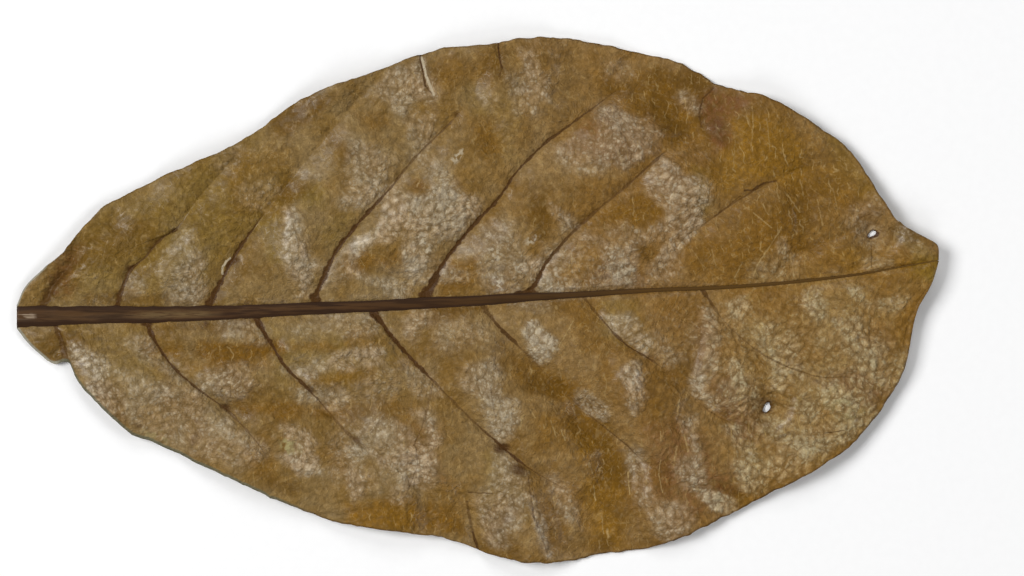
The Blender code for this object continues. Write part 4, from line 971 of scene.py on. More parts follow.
@dataclass(frozen=True)
class BladeFinish:
    """The dry blade: brown, with glossy patches of painted sheen, ochre and dark ones, a net and its veins,
    and painted light and shade on its fine relief.

    Grains and clouds are sized in millimetres. The finer net is so many times as fine as the net,
    and a vein's halo is so many times as wide as the vein.
    """

    side: Side
    brown: Colour = (0.190, 0.109, 0.027)
    tan: Colour = (0.226, 0.147, 0.056)
    warm: Colour = (1.06, 0.945, 0.80)
    sunned: Colour = (1.015, 1.0, 0.83)
    ochre: Colour = (0.170, 0.080, 0.007)
    amber: Colour = (0.245, 0.122, 0.012)
    olive: Colour = (0.178, 0.112, 0.016)
    dark: Colour = (0.115, 0.055, 0.005)
    # The painted sheen's colours
    pale: Colour = (0.365, 0.266, 0.160)
    cool_painted_sheen: Colour = (0.350, 0.284, 0.190)
    rosy: Colour = (0.140, 0.058, 0.020)
    mould: Colour = (0.360, 0.310, 0.140)
    # The cracks' dark brown, also used for painted shade in the hollows of the fine relief
    crack: Colour = (0.090, 0.045, 0.012)
    # Painted highlight on the fine veins' ridges
    fine_highlight: Colour = (0.380, 0.260, 0.105)
    vein: Colour = (0.062, 0.026, 0.006)
    # The light colour of painted highlights, sparkles and glints, and of the under face's net
    light: Colour = (0.480, 0.400, 0.270)
    # The rim's painted shadow, and its painted highlight along the base's edge
    rim: Colour = (0.105, 0.112, 0.075)
    rim_highlight: Colour = (0.300, 0.290, 0.230)
    under: Colour = (0.170, 0.105, 0.045)
    coarse_grain: float = 1.3
    fine_grain: float = 0.4
    cloud_size: float = 9.0
    finer_net: float = 2.6
    halo_reach: float = 2.6
    specular: float = 0.05
    coat_roughness: float = 0.27

    def ground(self, wiring: Wiring, place: Socket, clouds: Socket, grain: Socket) -> Socket:
        """The blade's colour without its net and veins.

        Args:
            wiring: the material's wiring.
            place: the place on the leaf, in millimetres.
            clouds: broad noise.
            grain: finer noise.

        Returns:
            The colour.
        """
        colour = wiring.colour(wiring.span(clouds, 0.35, 0.65), self.brown, self.tan)
        along = wiring.add("ShaderNodeSeparateXYZ", {0: place}).outputs[0]
        colour = wiring.colour(wiring.span(along, -25, 45), colour, self.warm, "MULTIPLY")
        for tone, over, much, least in (
            (Tone.OLIVE, self.olive, 0.85, 0.8),
            (Tone.OCHRE, self.ochre, 0.95, 0.8),
            (Tone.AMBER, self.amber, 0.95, 0.8),
            (Tone.DARK, self.dark, 0.8, 0.8),
            (Tone.ROSY, self.rosy, 0.95, 0.3),
        ):
            ragged = wiring.spread(grain, least, 1.15)
            mask = wiring.times(wiring.times(wiring.mesh_value(tone.value), ragged), much)
            colour = wiring.colour(mask, colour, over)
        return colour

    def marks(self, wiring: Wiring, place: Socket, rows: tuple) -> Socket | float:
        """Draws a set of thin lines.

        Args:
            wiring: the material's wiring.
            place: the place on the leaf, in millimetres.
            rows: for each line, both ends, its width and its strength. Only the lines on the
                finish's own half of the blade are drawn.

        Returns:
            How strongly the lines are seen.
        """
        total = 0.0
        for start, end, width, strength in rows:
            if self.side.value * (start[1] - midrib_middle(start[0])) < 0:
                continue
            along = (end[0] - start[0], end[1] - start[1], 0)
            inputs = {"Place": place, "Start": (*start, 0), "Along": along}
            inputs |= {"Width": width, "Strength": strength}
            line = wiring.add("ShaderNodeGroup", inputs, node_tree=Line().group())
            total = wiring.math("MAXIMUM", total, line.outputs[0])
        return total

    def material(self) -> bpy.types.Material:
        """Builds the blade's material.

        Returns:
            The material.
        """
        name = f"dry_blade_{self.side.name.lower()}"
        material, wiring, surface, metres = new_material(name)
        tree = wiring.tree
        place = wiring.scaled(metres, 1 / MM)
        ripple = wiring.noise(place, 1.6, 2.0)
        strayed = wiring.add(
            "ShaderNodeTexNoise", {"Vector": place, "Scale": 0.8, "Detail": 1.0}
        ).outputs["Color"]
        strayed = wiring.vector("SUBTRACT", strayed, (0.5, 0.5, 0.5))
        drawn = wiring.vector("ADD", place, wiring.scaled(strayed, 0.5))
        splits = self.marks(wiring, drawn, SPLITS)
        tear_highlights = self.marks(wiring, drawn, TEAR_HIGHLIGHTS)
        vein_highlights = self.marks(wiring, drawn, VEIN_HIGHLIGHTS)
        inputs = {"Place": place, "Coarse Size": self.coarse_grain, "Fine Size": self.fine_grain}
        grain = wiring.add("ShaderNodeGroup", inputs, node_tree=Grain().group()).outputs
        coarse, fine = grain["Coarse"], grain["Fine"]
        clouds = wiring.noise(place, self.cloud_size, 3.0)

        # The browns, and the patches that dried in other colours
        pale = wiring.mesh_value(Tone.PALE.value)
        ochre = wiring.mesh_value(Tone.OCHRE.value)
        colour = self.ground(wiring, place, clouds, coarse)

        # Painted sheen on the pads of the net, where the glossy blade reflects the light, with painted
        # highlights and sparkles in it
        cells = wiring.mesh_value("net", "Vector")
        edge = wiring.net(cells, 1.0)
        fine_edge = wiring.net(cells, self.finer_net)
        pad = wiring.span(edge, 0.0, 0.40)
        fine_pad = wiring.span(fine_edge, 0.0, 0.40)
        pads = wiring.plus(wiring.times(pad, 0.5), 0.55)
        pads = wiring.times(pads, wiring.plus(wiring.times(fine_pad, 0.35), 0.7))
        ragged = wiring.span(coarse, 0.32, 0.62, 0.7, 1.15)
        own = wiring.cell(cells, self.finer_net)
        pads = wiring.times(pads, wiring.plus(wiring.times(own, 0.5), 0.75))
        pads = wiring.times(pads, wiring.plus(wiring.times(wiring.cell(cells, 1.0), 0.5), 0.75))
        painted_sheen_seen = wiring.times(wiring.times(wiring.times(pale, 1.30), ragged), pads)
        light = wiring.colour(wiring.span(clouds, 0.4, 0.6), self.pale, self.cool_painted_sheen)
        colour = wiring.colour(painted_sheen_seen, colour, light)
        # Painted highlights on the brightest small pads
        painted_gleam = wiring.times(wiring.span(own, 0.7, 0.9), wiring.span(fine_edge, 0.08, 0.3))
        painted_gleam_seen = wiring.times(painted_gleam, wiring.plus(wiring.times(pale, 0.55), 0.06))
        colour = wiring.colour(painted_gleam_seen, colour, self.light)
        # Painted sparkles of light in the sheen
        painted_sparkle = wiring.times(wiring.span(wiring.noise(place, 0.55, 0.0), 0.64, 0.74), pale)
        painted_sparkle = wiring.times(painted_sparkle, wiring.span(clouds, 0.4, 0.6, 0.3, 0.9))
        colour = wiring.colour(painted_sparkle, colour, self.light)

        # The cracks between the pads, and painted shade that darkens each pad towards its edges so that it
        # looks domed
        crack = wiring.rest(wiring.span(wiring.plus(edge, wiring.times(fine, 0.05)), 0.025, 0.09))
        parts = wiring.add("ShaderNodeSeparateXYZ", {0: place}).outputs
        quilted = wiring.times(wiring.span(parts[0], 25, 50), wiring.span(parts[1], 4, -6))
        much = wiring.plus(wiring.times(pale, 0.30), wiring.plus(wiring.times(quilted, 0.16), 0.05))
        crack_seen = wiring.times(crack, much)
        colour = wiring.colour(wiring.times(crack_seen, wiring.span(ripple, 0.3, 0.55)), colour, self.crack)
        painted_dome_shade = wiring.grey(wiring.span(edge, 0.03, 0.30, 0.89, 1.10))
        much = wiring.plus(wiring.times(pale, 0.6), wiring.plus(wiring.times(quilted, 0.5), 0.2))
        colour = wiring.colour(much, colour, painted_dome_shade, "MULTIPLY")

        # The finest veins: squiggles, rungs and hairs, painted light as highlights where their ridges catch
        # the light, and painted shade in the hollows beside them
        weave = wiring.mesh_value("weave", "Vector")
        stretched = wiring.vector("MULTIPLY", weave, (0.45, 0.80, 1.0))
        worms = wiring.add(
            "ShaderNodeTexNoise", {"Vector": stretched, "Scale": 1.0, "Detail": 0.4, "Distortion": 1.0}
        ).outputs[0]
        worm_light = wiring.span(worms, 0.57, 0.72)
        worm_shade = wiring.span(worms, 0.42, 0.28)
        dimples = wiring.noise(place, 1.25, 0.6)
        curled = wiring.vector("ADD", place, wiring.scaled(strayed, 1.3))
        veinlet = wiring.rest(wiring.span(wiring.net(curled, 0.8), 0.04, 0.13))
        broken = wiring.span(wiring.noise(place, 1.3, 1.0), 0.50, 0.60)
        squiggle = wiring.times(veinlet, broken)
        much = wiring.plus(wiring.times(ochre, 0.10), wiring.span(clouds, 0.5, 0.65, 0.08, 0.26))
        much = wiring.times(much, wiring.span(wiring.mesh_value(Tone.ROSY.value), 0.3, 0.8, 1.0, 0.3))
        colour = wiring.colour(wiring.times(squiggle, much), colour, self.fine_highlight)
        amber = wiring.mesh_value(Tone.AMBER.value)
        rung_at = wiring.plus(wiring.times(parts[0], 0.45), wiring.times(parts[1], 0.05))
        rung_at = wiring.plus(rung_at, wiring.times(wiring.noise(place, 3.4, 1.5), 2.2))
        rung = wiring.math("ABSOLUTE", wiring.math("SUBTRACT", wiring.math("FRACT", rung_at), 0.5))
        rung = wiring.rest(wiring.span(rung, 0.02, 0.10))
        drawn_out = wiring.vector("MULTIPLY", place, (1.0, 0.45, 1.0))
        stretches = wiring.span(wiring.noise(drawn_out, 1.1, 1.0), 0.53, 0.62)
        much = wiring.plus(wiring.times(wiring.plus(ochre, amber), 0.25), 0.30)
        colour = wiring.colour(wiring.times(wiring.times(rung, stretches), much), colour, self.fine_highlight)
        crest_highlights = wiring.times(worm_light, 0.2)
        colour = wiring.colour(wiring.times(crest_highlights, wiring.span(ripple, 0.4, 0.6)), colour, self.fine_highlight)
        colour = wiring.colour(wiring.times(worm_shade, 0.10), colour, self.crack)
        shadow = wiring.times(wiring.times(veinlet, wiring.rest(broken)), 0.16)
        colour = wiring.colour(shadow, colour, self.crack)

        # Uneven drying, and the warmer stretch near the tip
        shade = wiring.spread(fine, 0.95, 1.05)
        shade = wiring.times(shade, wiring.spread(coarse, 0.865, 1.135))
        shade = wiring.times(shade, wiring.spread(wiring.noise(place, 3.2, 1.0), 0.92, 1.08))
        colour = wiring.colour(1.0, colour, wiring.grey(shade), "MULTIPLY")
        sunned = wiring.times(wiring.span(parts[0], 44, 60), wiring.span(parts[1], 18, 2))
        colour = wiring.colour(sunned, colour, self.sunned, "MULTIPLY")

        # Mould, and painted glints: light spots where the wax reflects the light, which also make the blade
        # glossier there
        spores = wiring.times(wiring.mesh_value(Tone.MOULD.value), wiring.span(dimples, 0.4, 0.6))
        colour = wiring.colour(spores, colour, self.mould)
        beads = wiring.span(wiring.noise(place, 0.75, 0.0), 0.50, 0.62)
        glint = wiring.times(wiring.mesh_value(Tone.GLINT.value), beads)
        colour = wiring.colour(glint, colour, self.light)

        # The side veins, the knots, and the painted shadow at the insect holes
        wavering = wiring.times(wiring.math("SUBTRACT", ripple, 0.5), 0.35)
        side = wiring.math("ABSOLUTE", wiring.plus(wiring.mesh_value("vein_side"), wavering))
        reach = wiring.times(wiring.mesh_value("vein_width"), wiring.spread(coarse, 0.6, 1.4))
        reach = wiring.times(reach, wiring.spread(wiring.noise(place, 2.6, 0.0), 0.75, 1.35))
        line = wiring.rest(wiring.math("DIVIDE", side, reach), clamp=True)
        line = wiring.span(line, 0.0, 0.45)
        halo = wiring.rest(wiring.math("DIVIDE", side, wiring.times(reach, self.halo_reach)), clamp=True)
        vein_dark = wiring.mesh_value("vein_dark")
        colour = wiring.colour(wiring.times(wiring.times(halo, vein_dark), 0.15), colour, self.crack)
        colour = wiring.colour(wiring.times(line, vein_dark), colour, self.vein)
        colour = wiring.colour(wiring.mesh_value(Tone.KNOT.value), colour, self.vein)

        # The rim: a dark line along the margin, painted shadow along the lower left margin and a painted
        # highlight along the base's edge; then the lines that are drawn on the blade, with painted
        # highlights beside tears and on fine veins
        reach = wiring.plus(0.4, wiring.times(wiring.mesh_value("rim_grey"), 0.25))
        rim = wiring.math("DIVIDE", wiring.mesh_value("from_margin"), reach)
        rim = wiring.rest(wiring.span(rim, 0.5, 1.1))
        rim_colour = wiring.colour(wiring.mesh_value("rim_grey"), self.crack, self.rim)
        rim_colour = wiring.colour(wiring.mesh_value("rim_white"), rim_colour, self.rim_highlight)
        colour = wiring.colour(wiring.times(rim, wiring.mesh_value("rim_dark")), colour, rim_colour)
        colour = wiring.colour(splits, colour, self.vein)
        colour = wiring.colour(tear_highlights, colour, self.light)
        vein_highlights = wiring.times(vein_highlights, wiring.span(coarse, 0.4, 0.5, 0.35, 0.85))
        colour = wiring.colour(vein_highlights, colour, self.fine_highlight)

        # The under face
        below = wiring.mesh_value("under")
        under = wiring.colour(wiring.spread(coarse), self.under, self.tan)
        under = wiring.colour(wiring.times(crack, 0.5), under, self.light)
        under = wiring.colour(wiring.times(line, 0.85), under, self.dark)
        colour = wiring.colour(below, colour, under)
        tree.links.new(colour, surface.inputs["Base Color"])

        # How rough and how glossy the blade is
        gloss = wiring.times(wiring.times(pale, wiring.span(coarse, 0.3, 0.6, 0.5, 1.0)), -0.1)
        dull = wiring.times(wiring.plus(ochre, below), 0.08)
        rough = wiring.plus(wiring.plus(wiring.spread(coarse, 0.34, 0.46), gloss), dull)
        tree.links.new(rough, surface.inputs["Roughness"])
        surface.inputs["Specular IOR Level"].default_value = self.specular
        shine = wiring.plus(wiring.times(pale, 0.2), wiring.times(worm_light, 0.15))
        shine = wiring.plus(shine, wiring.times(squiggle, 0.2))
        shine = wiring.plus(shine, wiring.span(clouds, 0.4, 0.65, 0.0, 0.12))
        shine = wiring.plus(wiring.times(shine, wiring.rest(wiring.times(line, vein_dark))), 0.05)
        shine = wiring.times(shine, wiring.span(wiring.mesh_value(Tone.ROSY.value), 0.3, 0.8, 1.0, 0.2))
        shine = wiring.plus(shine, wiring.mesh_value(Tone.GLINT.value))
        shine = wiring.times(shine, wiring.rest(below))
        tree.links.new(shine, surface.inputs["Coat Weight"])
        surface.inputs["Coat Roughness"].default_value = self.coat_roughness

        # The fine relief
        deep = wiring.plus(wiring.times(quilted, 0.06), 0.13)
        height = wiring.plus(wiring.times(pad, deep), wiring.times(fine_pad, 0.06))
        height = wiring.plus(height, wiring.times(worms, 0.18))
        height = wiring.plus(height, wiring.times(wiring.times(dimples, wiring.plus(pale, 0.45)), 0.36))
        height = wiring.plus(height, wiring.times(squiggle, 0.05))
        height = wiring.plus(height, wiring.times(grain["Height"], 0.02))
        bump = wiring.add("ShaderNodeBump", {"Height": height, "Strength": 1.0, "Distance": MM})
        tree.links.new(bump.outputs[0], surface.inputs["Normal"])
        return material


@dataclass(frozen=True)
class RibFinish:
    """The dark purple-brown rind of the midrib, with a lighter middle near the base.

    Grains and the fibres' depth are in millimetres.
    """

    rind: Colour = (0.072, 0.034, 0.012)
    edge: Colour = (0.030, 0.013, 0.005)
    dry: Colour = (0.085, 0.042, 0.008)
    stripe: Colour = (0.130, 0.080, 0.032)
    tip: Colour = (0.170, 0.095, 0.025)
    splinter: Colour = (0.420, 0.320, 0.220)
    coarse_grain: float = 0.9
    fine_grain: float = 0.3
    fibre_depth: float = 0.08
    specular: float = 0.1

    def material(self) -> bpy.types.Material:
        """Builds the midrib's material.

        Returns:
            The material.
        """
        material, wiring, surface, metres = new_material("midrib_rind")
        tree = wiring.tree
        place = wiring.scaled(metres, 1 / MM)
        fibres_at = wiring.vector("MULTIPLY", place, (0.12, 1.6, 1.0))
        inputs = {"Place": fibres_at, "Coarse Size": self.coarse_grain, "Fine Size": self.fine_grain}
        grain = wiring.add("ShaderNodeGroup", inputs, node_tree=Grain().group()).outputs
        coarse, fine = grain["Coarse"], grain["Fine"]

        across = wiring.math("ABSOLUTE", wiring.mesh_value("across"))
        colour = wiring.colour(wiring.span(coarse, 0.35, 0.65), self.rind, self.edge)
        along = wiring.add("ShaderNodeSeparateXYZ", {0: place}).outputs[0]
        colour = wiring.colour(wiring.span(along, -30, 60), colour, self.dry)
        stripe = wiring.times(wiring.mesh_value("stripe"), wiring.span(fine, 0.3, 0.55))
        colour = wiring.colour(stripe, colour, self.stripe)
        dim = wiring.times(wiring.span(across, 0.42, 0.72), wiring.span(along, 60, -10, 0.2, 0.9))
        colour = wiring.colour(dim, colour, self.edge)
        middle = wiring.times(wiring.span(along, -35, -10), wiring.span(along, 45, 15))
        colour = wiring.colour(wiring.times(middle, 0.3), colour, self.edge)
        colour = wiring.colour(wiring.span(along, 82, 94, 0.0, 0.55), colour, self.tip)
        splinter = wiring.times(wiring.mesh_value("splinter"), wiring.span(coarse, 0.42, 0.5))
        colour = wiring.colour(splinter, colour, self.splinter)
        tree.links.new(colour, surface.inputs["Base Color"])
        tree.links.new(wiring.spread(coarse, 0.42, 0.6), surface.inputs["Roughness"])
        surface.inputs["Specular IOR Level"].default_value = self.specular
        inputs = {"Height": grain["Height"], "Strength": 1.0, "Distance": self.fibre_depth * MM}
        bump = wiring.add("ShaderNodeBump", inputs)
        tree.links.new(bump.outputs[0], surface.inputs["Normal"])
        return material


@dataclass(frozen=True)
class FloorFinish:
    """Matt white studio paper, whose tooth is sized in metres."""

    white: Colour = (0.95, 0.95, 0.95)
    shaded: Colour = (0.9405, 0.9405, 0.9405)
    tooth_size: float = 0.002
    roughness: float = 0.9
    specular: float = 0.2

    def material(self) -> bpy.types.Material:
        """Builds the floor's material.

        Returns:
            The material.
        """
        material, wiring, surface, metres = new_material("studio_paper")
        tooth = wiring.noise(metres, self.tooth_size)
        shade = wiring.colour(wiring.spread(tooth), self.white, self.shaded)
        wiring.tree.links.new(shade, surface.inputs["Base Color"])
        surface.inputs["Roughness"].default_value = self.roughness
        surface.inputs["Specular IOR Level"].default_value = self.specular
        return material


@dataclass(frozen=True)
class Vein:
    """A side vein: where it leaves the midrib, its way to the margin, and how it looks on it.

    Each look is a share of the vein's length, how wide it is there and how dark. The first and the
    last vein of a half are the blade's own edges at the base and the tip, and have no looks.
    """

    root: float
    way: Points
    looks: tuple[tuple[float, float, float], ...] = ()

    def track(self, side: Side, shares: np.ndarray) -> np.ndarray:
        """Where the vein runs.

        Args:
            side: the half of the blade that it is in.
            shares: shares of its length, from the midrib out.

        Returns:
            The plan position at each share.
        """
        edge = midrib_middle(self.root) + side.value * midrib_width(self.root) / 2
        points = np.array([(self.root, edge), *self.way], float)
        lengths = lengths_along(points)
        return smooth(lengths, points, shares * lengths[-1])

    def look(self, shares: np.ndarray) -> tuple[np.ndarray, np.ndarray]:
        """How the vein looks along its way.

        Args:
            shares: shares of its length, from the midrib out.

        Returns:
            Half its width, and how dark it is, at each share.
        """
        if not self.looks:
            return np.full_like(shares, 0.1), np.zeros_like(shares)
        at, widths, darks = np.array(self.looks).T
        return np.interp(shares, at, widths) / 2, np.interp(shares, at, darks)


LEFT_VEINS = (
    Vein(-100, ((-98.2, 2.6), (-93.5, 7.3))),
    Vein(-94.1, ((-92.5, 2.3), (-89.8, 5.9), (-88.2, 7.7), (-86.3, 14.3)),
         ((0, 2.6, 0.8), (0.2, 2.0, 0.65), (0.5, 2.4, 0.45), (0.6, 1.5, 0.15), (0.7, 1.0, 0))),
    Vein(-78.1, ((-76.5, 3.7), (-75.3, 6.4), (-72.2, 9), (-69.5, 12.2), (-67.7, 13.8), (-65.7, 15),
                 (-61.9, 20), (-46.5, 37.3)),
         ((0, 2.0, 0.9), (0.06, 1.2, 0.85), (0.15, 0.9, 0.8), (0.22, 0.6, 0.75), (0.36, 0.6, 0.7),
          (0.42, 0.7, 0.6), (0.48, 0.35, 0.3), (0.54, 0.3, 0))),
    Vein(-58.1, ((-55.4, 4.2), (-52.2, 10.1), (-48.6, 15.3), (-46.4, 18.4), (-43.2, 22.5),
                 (-37.4, 29.7), (-19.8, 50.5)),
         ((0, 2.2, 0.95), (0.05, 1.2, 0.95), (0.15, 1.0, 0.95), (0.27, 0.7, 0.9), (0.34, 0.4, 0.8),
          (0.37, 0.3, 0))),
    Vein(-35.3, ((-34.2, 2.9), (-32.8, 5.6), (-31, 9.6), (-26.5, 15.6), (-19.3, 23.6), (-13.3, 31),
                 (-4.9, 39.4), (5.7, 55.5)),
         ((0, 3.2, 0.95), (0.04, 1.5, 0.95), (0.14, 1.1, 0.95), (0.27, 0.95, 0.95), (0.36, 0.8, 0.9),
          (0.43, 0.65, 0.8), (0.5, 0.6, 0.6), (0.7, 0.5, 0.6), (0.74, 0.3, 0.1), (0.8, 0.3, 0))),
    Vein(-11.7, ((-10.2, 2.8), (-7.9, 7), (-2.5, 14.1), (0.5, 17.6), (4.5, 21.7), (8.3, 27.3),
                 (13.8, 33), (15.9, 34.9), (18.6, 36.8), (24.6, 41.2), (28.9, 44.4), (40.8, 52)),
         ((0, 3.6, 0.97), (0.03, 2.0, 0.97), (0.1, 1.35, 0.97), (0.2, 0.95, 0.95), (0.39, 0.75, 0.92),
          (0.58, 0.7, 0.88), (0.7, 0.6, 0.8), (0.78, 0.5, 0.6), (0.84, 0.3, 0.1), (0.9, 0.3, 0))),
    Vein(10.8, ((11.6, 2.2), (14.8, 7.6), (19.2, 13), (24.6, 18.2), (30.2, 22.8), (40.8, 32.1),
                (47.3, 37.9), (58.2, 45.3)),
         ((0, 3.0, 0.95), (0.03, 1.6, 0.95), (0.1, 1.2, 0.92), (0.18, 0.9, 0.85), (0.3, 0.8, 0.65),
          (0.41, 0.75, 0.55), (0.55, 0.65, 0.6), (0.65, 0.6, 0.65), (0.68, 0.3, 0))),
    Vein(38, ((41.7, 8.5), (48, 15.4), (51.5, 18), (59.3, 23.2), (64.2, 25.8), (69.9, 28.2),
              (82.7, 29.9)),
         ((0, 0.3, 0), (0.28, 0.3, 0.15), (0.36, 0.4, 0.4), (0.56, 0.45, 0.6), (0.6, 0.4, 0.5),
          (0.64, 0.4, 0.3), (0.72, 0.3, 0.1), (0.8, 0.3, 0))),
    Vein(62.5, ((69, 9.1), (76.6, 13), (90.2, 16.9)), ((0, 0.4, 0.15), (0.3, 0.3, 0.05), (1, 0.3, 0))),
    Vein(80.9, ((87.4, 10), (91.1, 15.6)), ((0, 0.4, 0.2), (0.5, 0.3, 0.05), (1, 0.3, 0))),
    Vein(100, ((99.6, 11.9), (97.0, 13.5))),
)
RIGHT_VEINS = (
    Vein(-100, ((-97.4, -9.5), (-93.4, -13.2))),
    Vein(-91.5, ((-90.3, -8.2), (-89.6, -10.4), (-89.0, -12.9)),
         ((0, 1.8, 0.85), (0.1, 1.4, 0.75), (0.6, 1.4, 0.6), (1, 1.6, 0.5))),
    Vein(-71.7, ((-69.2, -10), (-65.4, -15), (-60.5, -19.2), (-54.5, -23.6), (-49.5, -28.6),
                 (-46.4, -32.5), (-43.7, -42)),
         ((0, 2.2, 0.95), (0.04, 1.0, 0.95), (0.2, 0.8, 0.92), (0.35, 0.55, 0.85), (0.5, 0.5, 0.7),
          (0.56, 0.6, 0.6), (0.8, 0.4, 0.4), (0.86, 0.3, 0))),
    Vein(-47.9, ((-44.5, -9.6), (-41.3, -14.6), (-36.5, -19.3), (-33.3, -22.9), (-26.8, -29.9),
                 (-18.3, -35.5), (0.3, -53.7)),
         ((0, 2.6, 0.97), (0.03, 1.1, 0.97), (0.15, 0.85, 0.95), (0.27, 0.7, 0.9), (0.34, 0.45, 0.6),
          (0.38, 0.5, 0.4), (0.46, 0.7, 0.55), (0.5, 0.5, 0.3), (0.58, 0.3, 0))),
    Vein(-22.4, ((-16.8, -9.8), (-10.1, -16.8), (-2.1, -24.9), (5.3, -31.6), (11.6, -36.6),
                 (21.1, -42.2), (37.6, -53.3)),
         ((0, 2.6, 0.97), (0.03, 1.3, 0.97), (0.12, 1.0, 0.97), (0.23, 0.75, 0.9), (0.27, 0.5, 0.55),
          (0.4, 0.45, 0.5), (0.46, 0.5, 0.8), (0.51, 0.8, 0.97), (0.58, 0.5, 0.9), (0.62, 0.35, 0.5),
          (0.74, 0.3, 0.2), (0.8, 0.3, 0))),
    Vein(1.2, ((4.6, -5.5), (7.8, -8.7), (11.6, -12.5), (18.3, -19.3), (25.5, -25.8), (32.4, -31.4),
               (36.1, -34.9), (56, -45.9)),
         ((0, 1.4, 0.6), (0.05, 0.8, 0.7), (0.1, 0.95, 0.9), (0.15, 0.8, 0.8), (0.18, 0.6, 0.45),
          (0.23, 0.5, 0.3), (0.3, 0.35, 0.1), (0.45, 0.4, 0.35), (0.6, 0.45, 0.65), (0.63, 0.5, 0.65),
          (0.68, 0.3, 0.2), (0.75, 0.3, 0))),
    Vein(23.3, ((26.8, -3.7), (31.7, -9.1), (38.9, -13.7), (44.5, -18.6), (50.8, -24.3),
                (57.3, -27.7), (64.2, -30.3), (71.4, -30.6), (79.8, -31.9)),
         ((0, 0.8, 0.5), (0.08, 0.5, 0.6), (0.19, 0.65, 0.85), (0.3, 0.6, 0.8), (0.33, 0.4, 0.3),
          (0.4, 0.3, 0.1), (0.53, 0.4, 0.3), (0.58, 0.5, 0.45), (0.62, 0.3, 0.15), (0.85, 0.3, 0.15),
          (1, 0.3, 0))),
    Vein(49.1, ((53, -3.7), (59.3, -9.8), (64.2, -13), (69.9, -15.4), (73.6, -16.5), (82, -16.9),
                (90.2, -19.7)),
         ((0, 1.0, 0.8), (0.08, 0.8, 0.6), (0.14, 0.4, 0.3), (0.3, 0.4, 0.35), (0.4, 0.45, 0.5),
          (0.55, 0.45, 0.55), (0.65, 0.4, 0.5), (0.8, 0.35, 0.35), (0.9, 0.3, 0))),
    Vein(64.7, ((76.6, -2.2), (92.8, -11))),
    Vein(80.5, ((88.5, 1.8), (94.4, -5.2))),
    Vein(100, ((98.7, 4.2), (95.7, -1.4))),
)


def vertex_places(mesh: bpy.types.Mesh) -> np.ndarray:
    """Reads where the vertices of a mesh are.

    Args:
        mesh: the mesh.

    Returns:
        The places, one row each.
    """
    places = np.zeros(len(mesh.vertices) * 3, np.float32)
    mesh.vertices.foreach_get("co", places)
    return places.reshape(-1, 3)


def loop_vertices(mesh: bpy.types.Mesh) -> np.ndarray:
    """Reads which vertex is at each corner of a mesh's faces.

    Args:
        mesh: the mesh.

    Returns:
        The number of each corner's vertex.
    """
    used = np.zeros(len(mesh.loops), np.int32)
    mesh.loops.foreach_get("vertex_index", used)
    return used


def carry(mesh: bpy.types.Mesh, name: str, values: np.ndarray) -> None:
    """Gives every vertex of a mesh a number or a vector, for the finish to read.

    Args:
        mesh: the mesh.
        name: the name that the finish reads it by.
        values: one for each vertex.
    """
    vectors = values.ndim == 2
    layer = mesh.attributes.new(name, "FLOAT_VECTOR" if vectors else "FLOAT", "POINT")
    layer.data.foreach_set("vector" if vectors else "value", values.astype(np.float32).ravel())


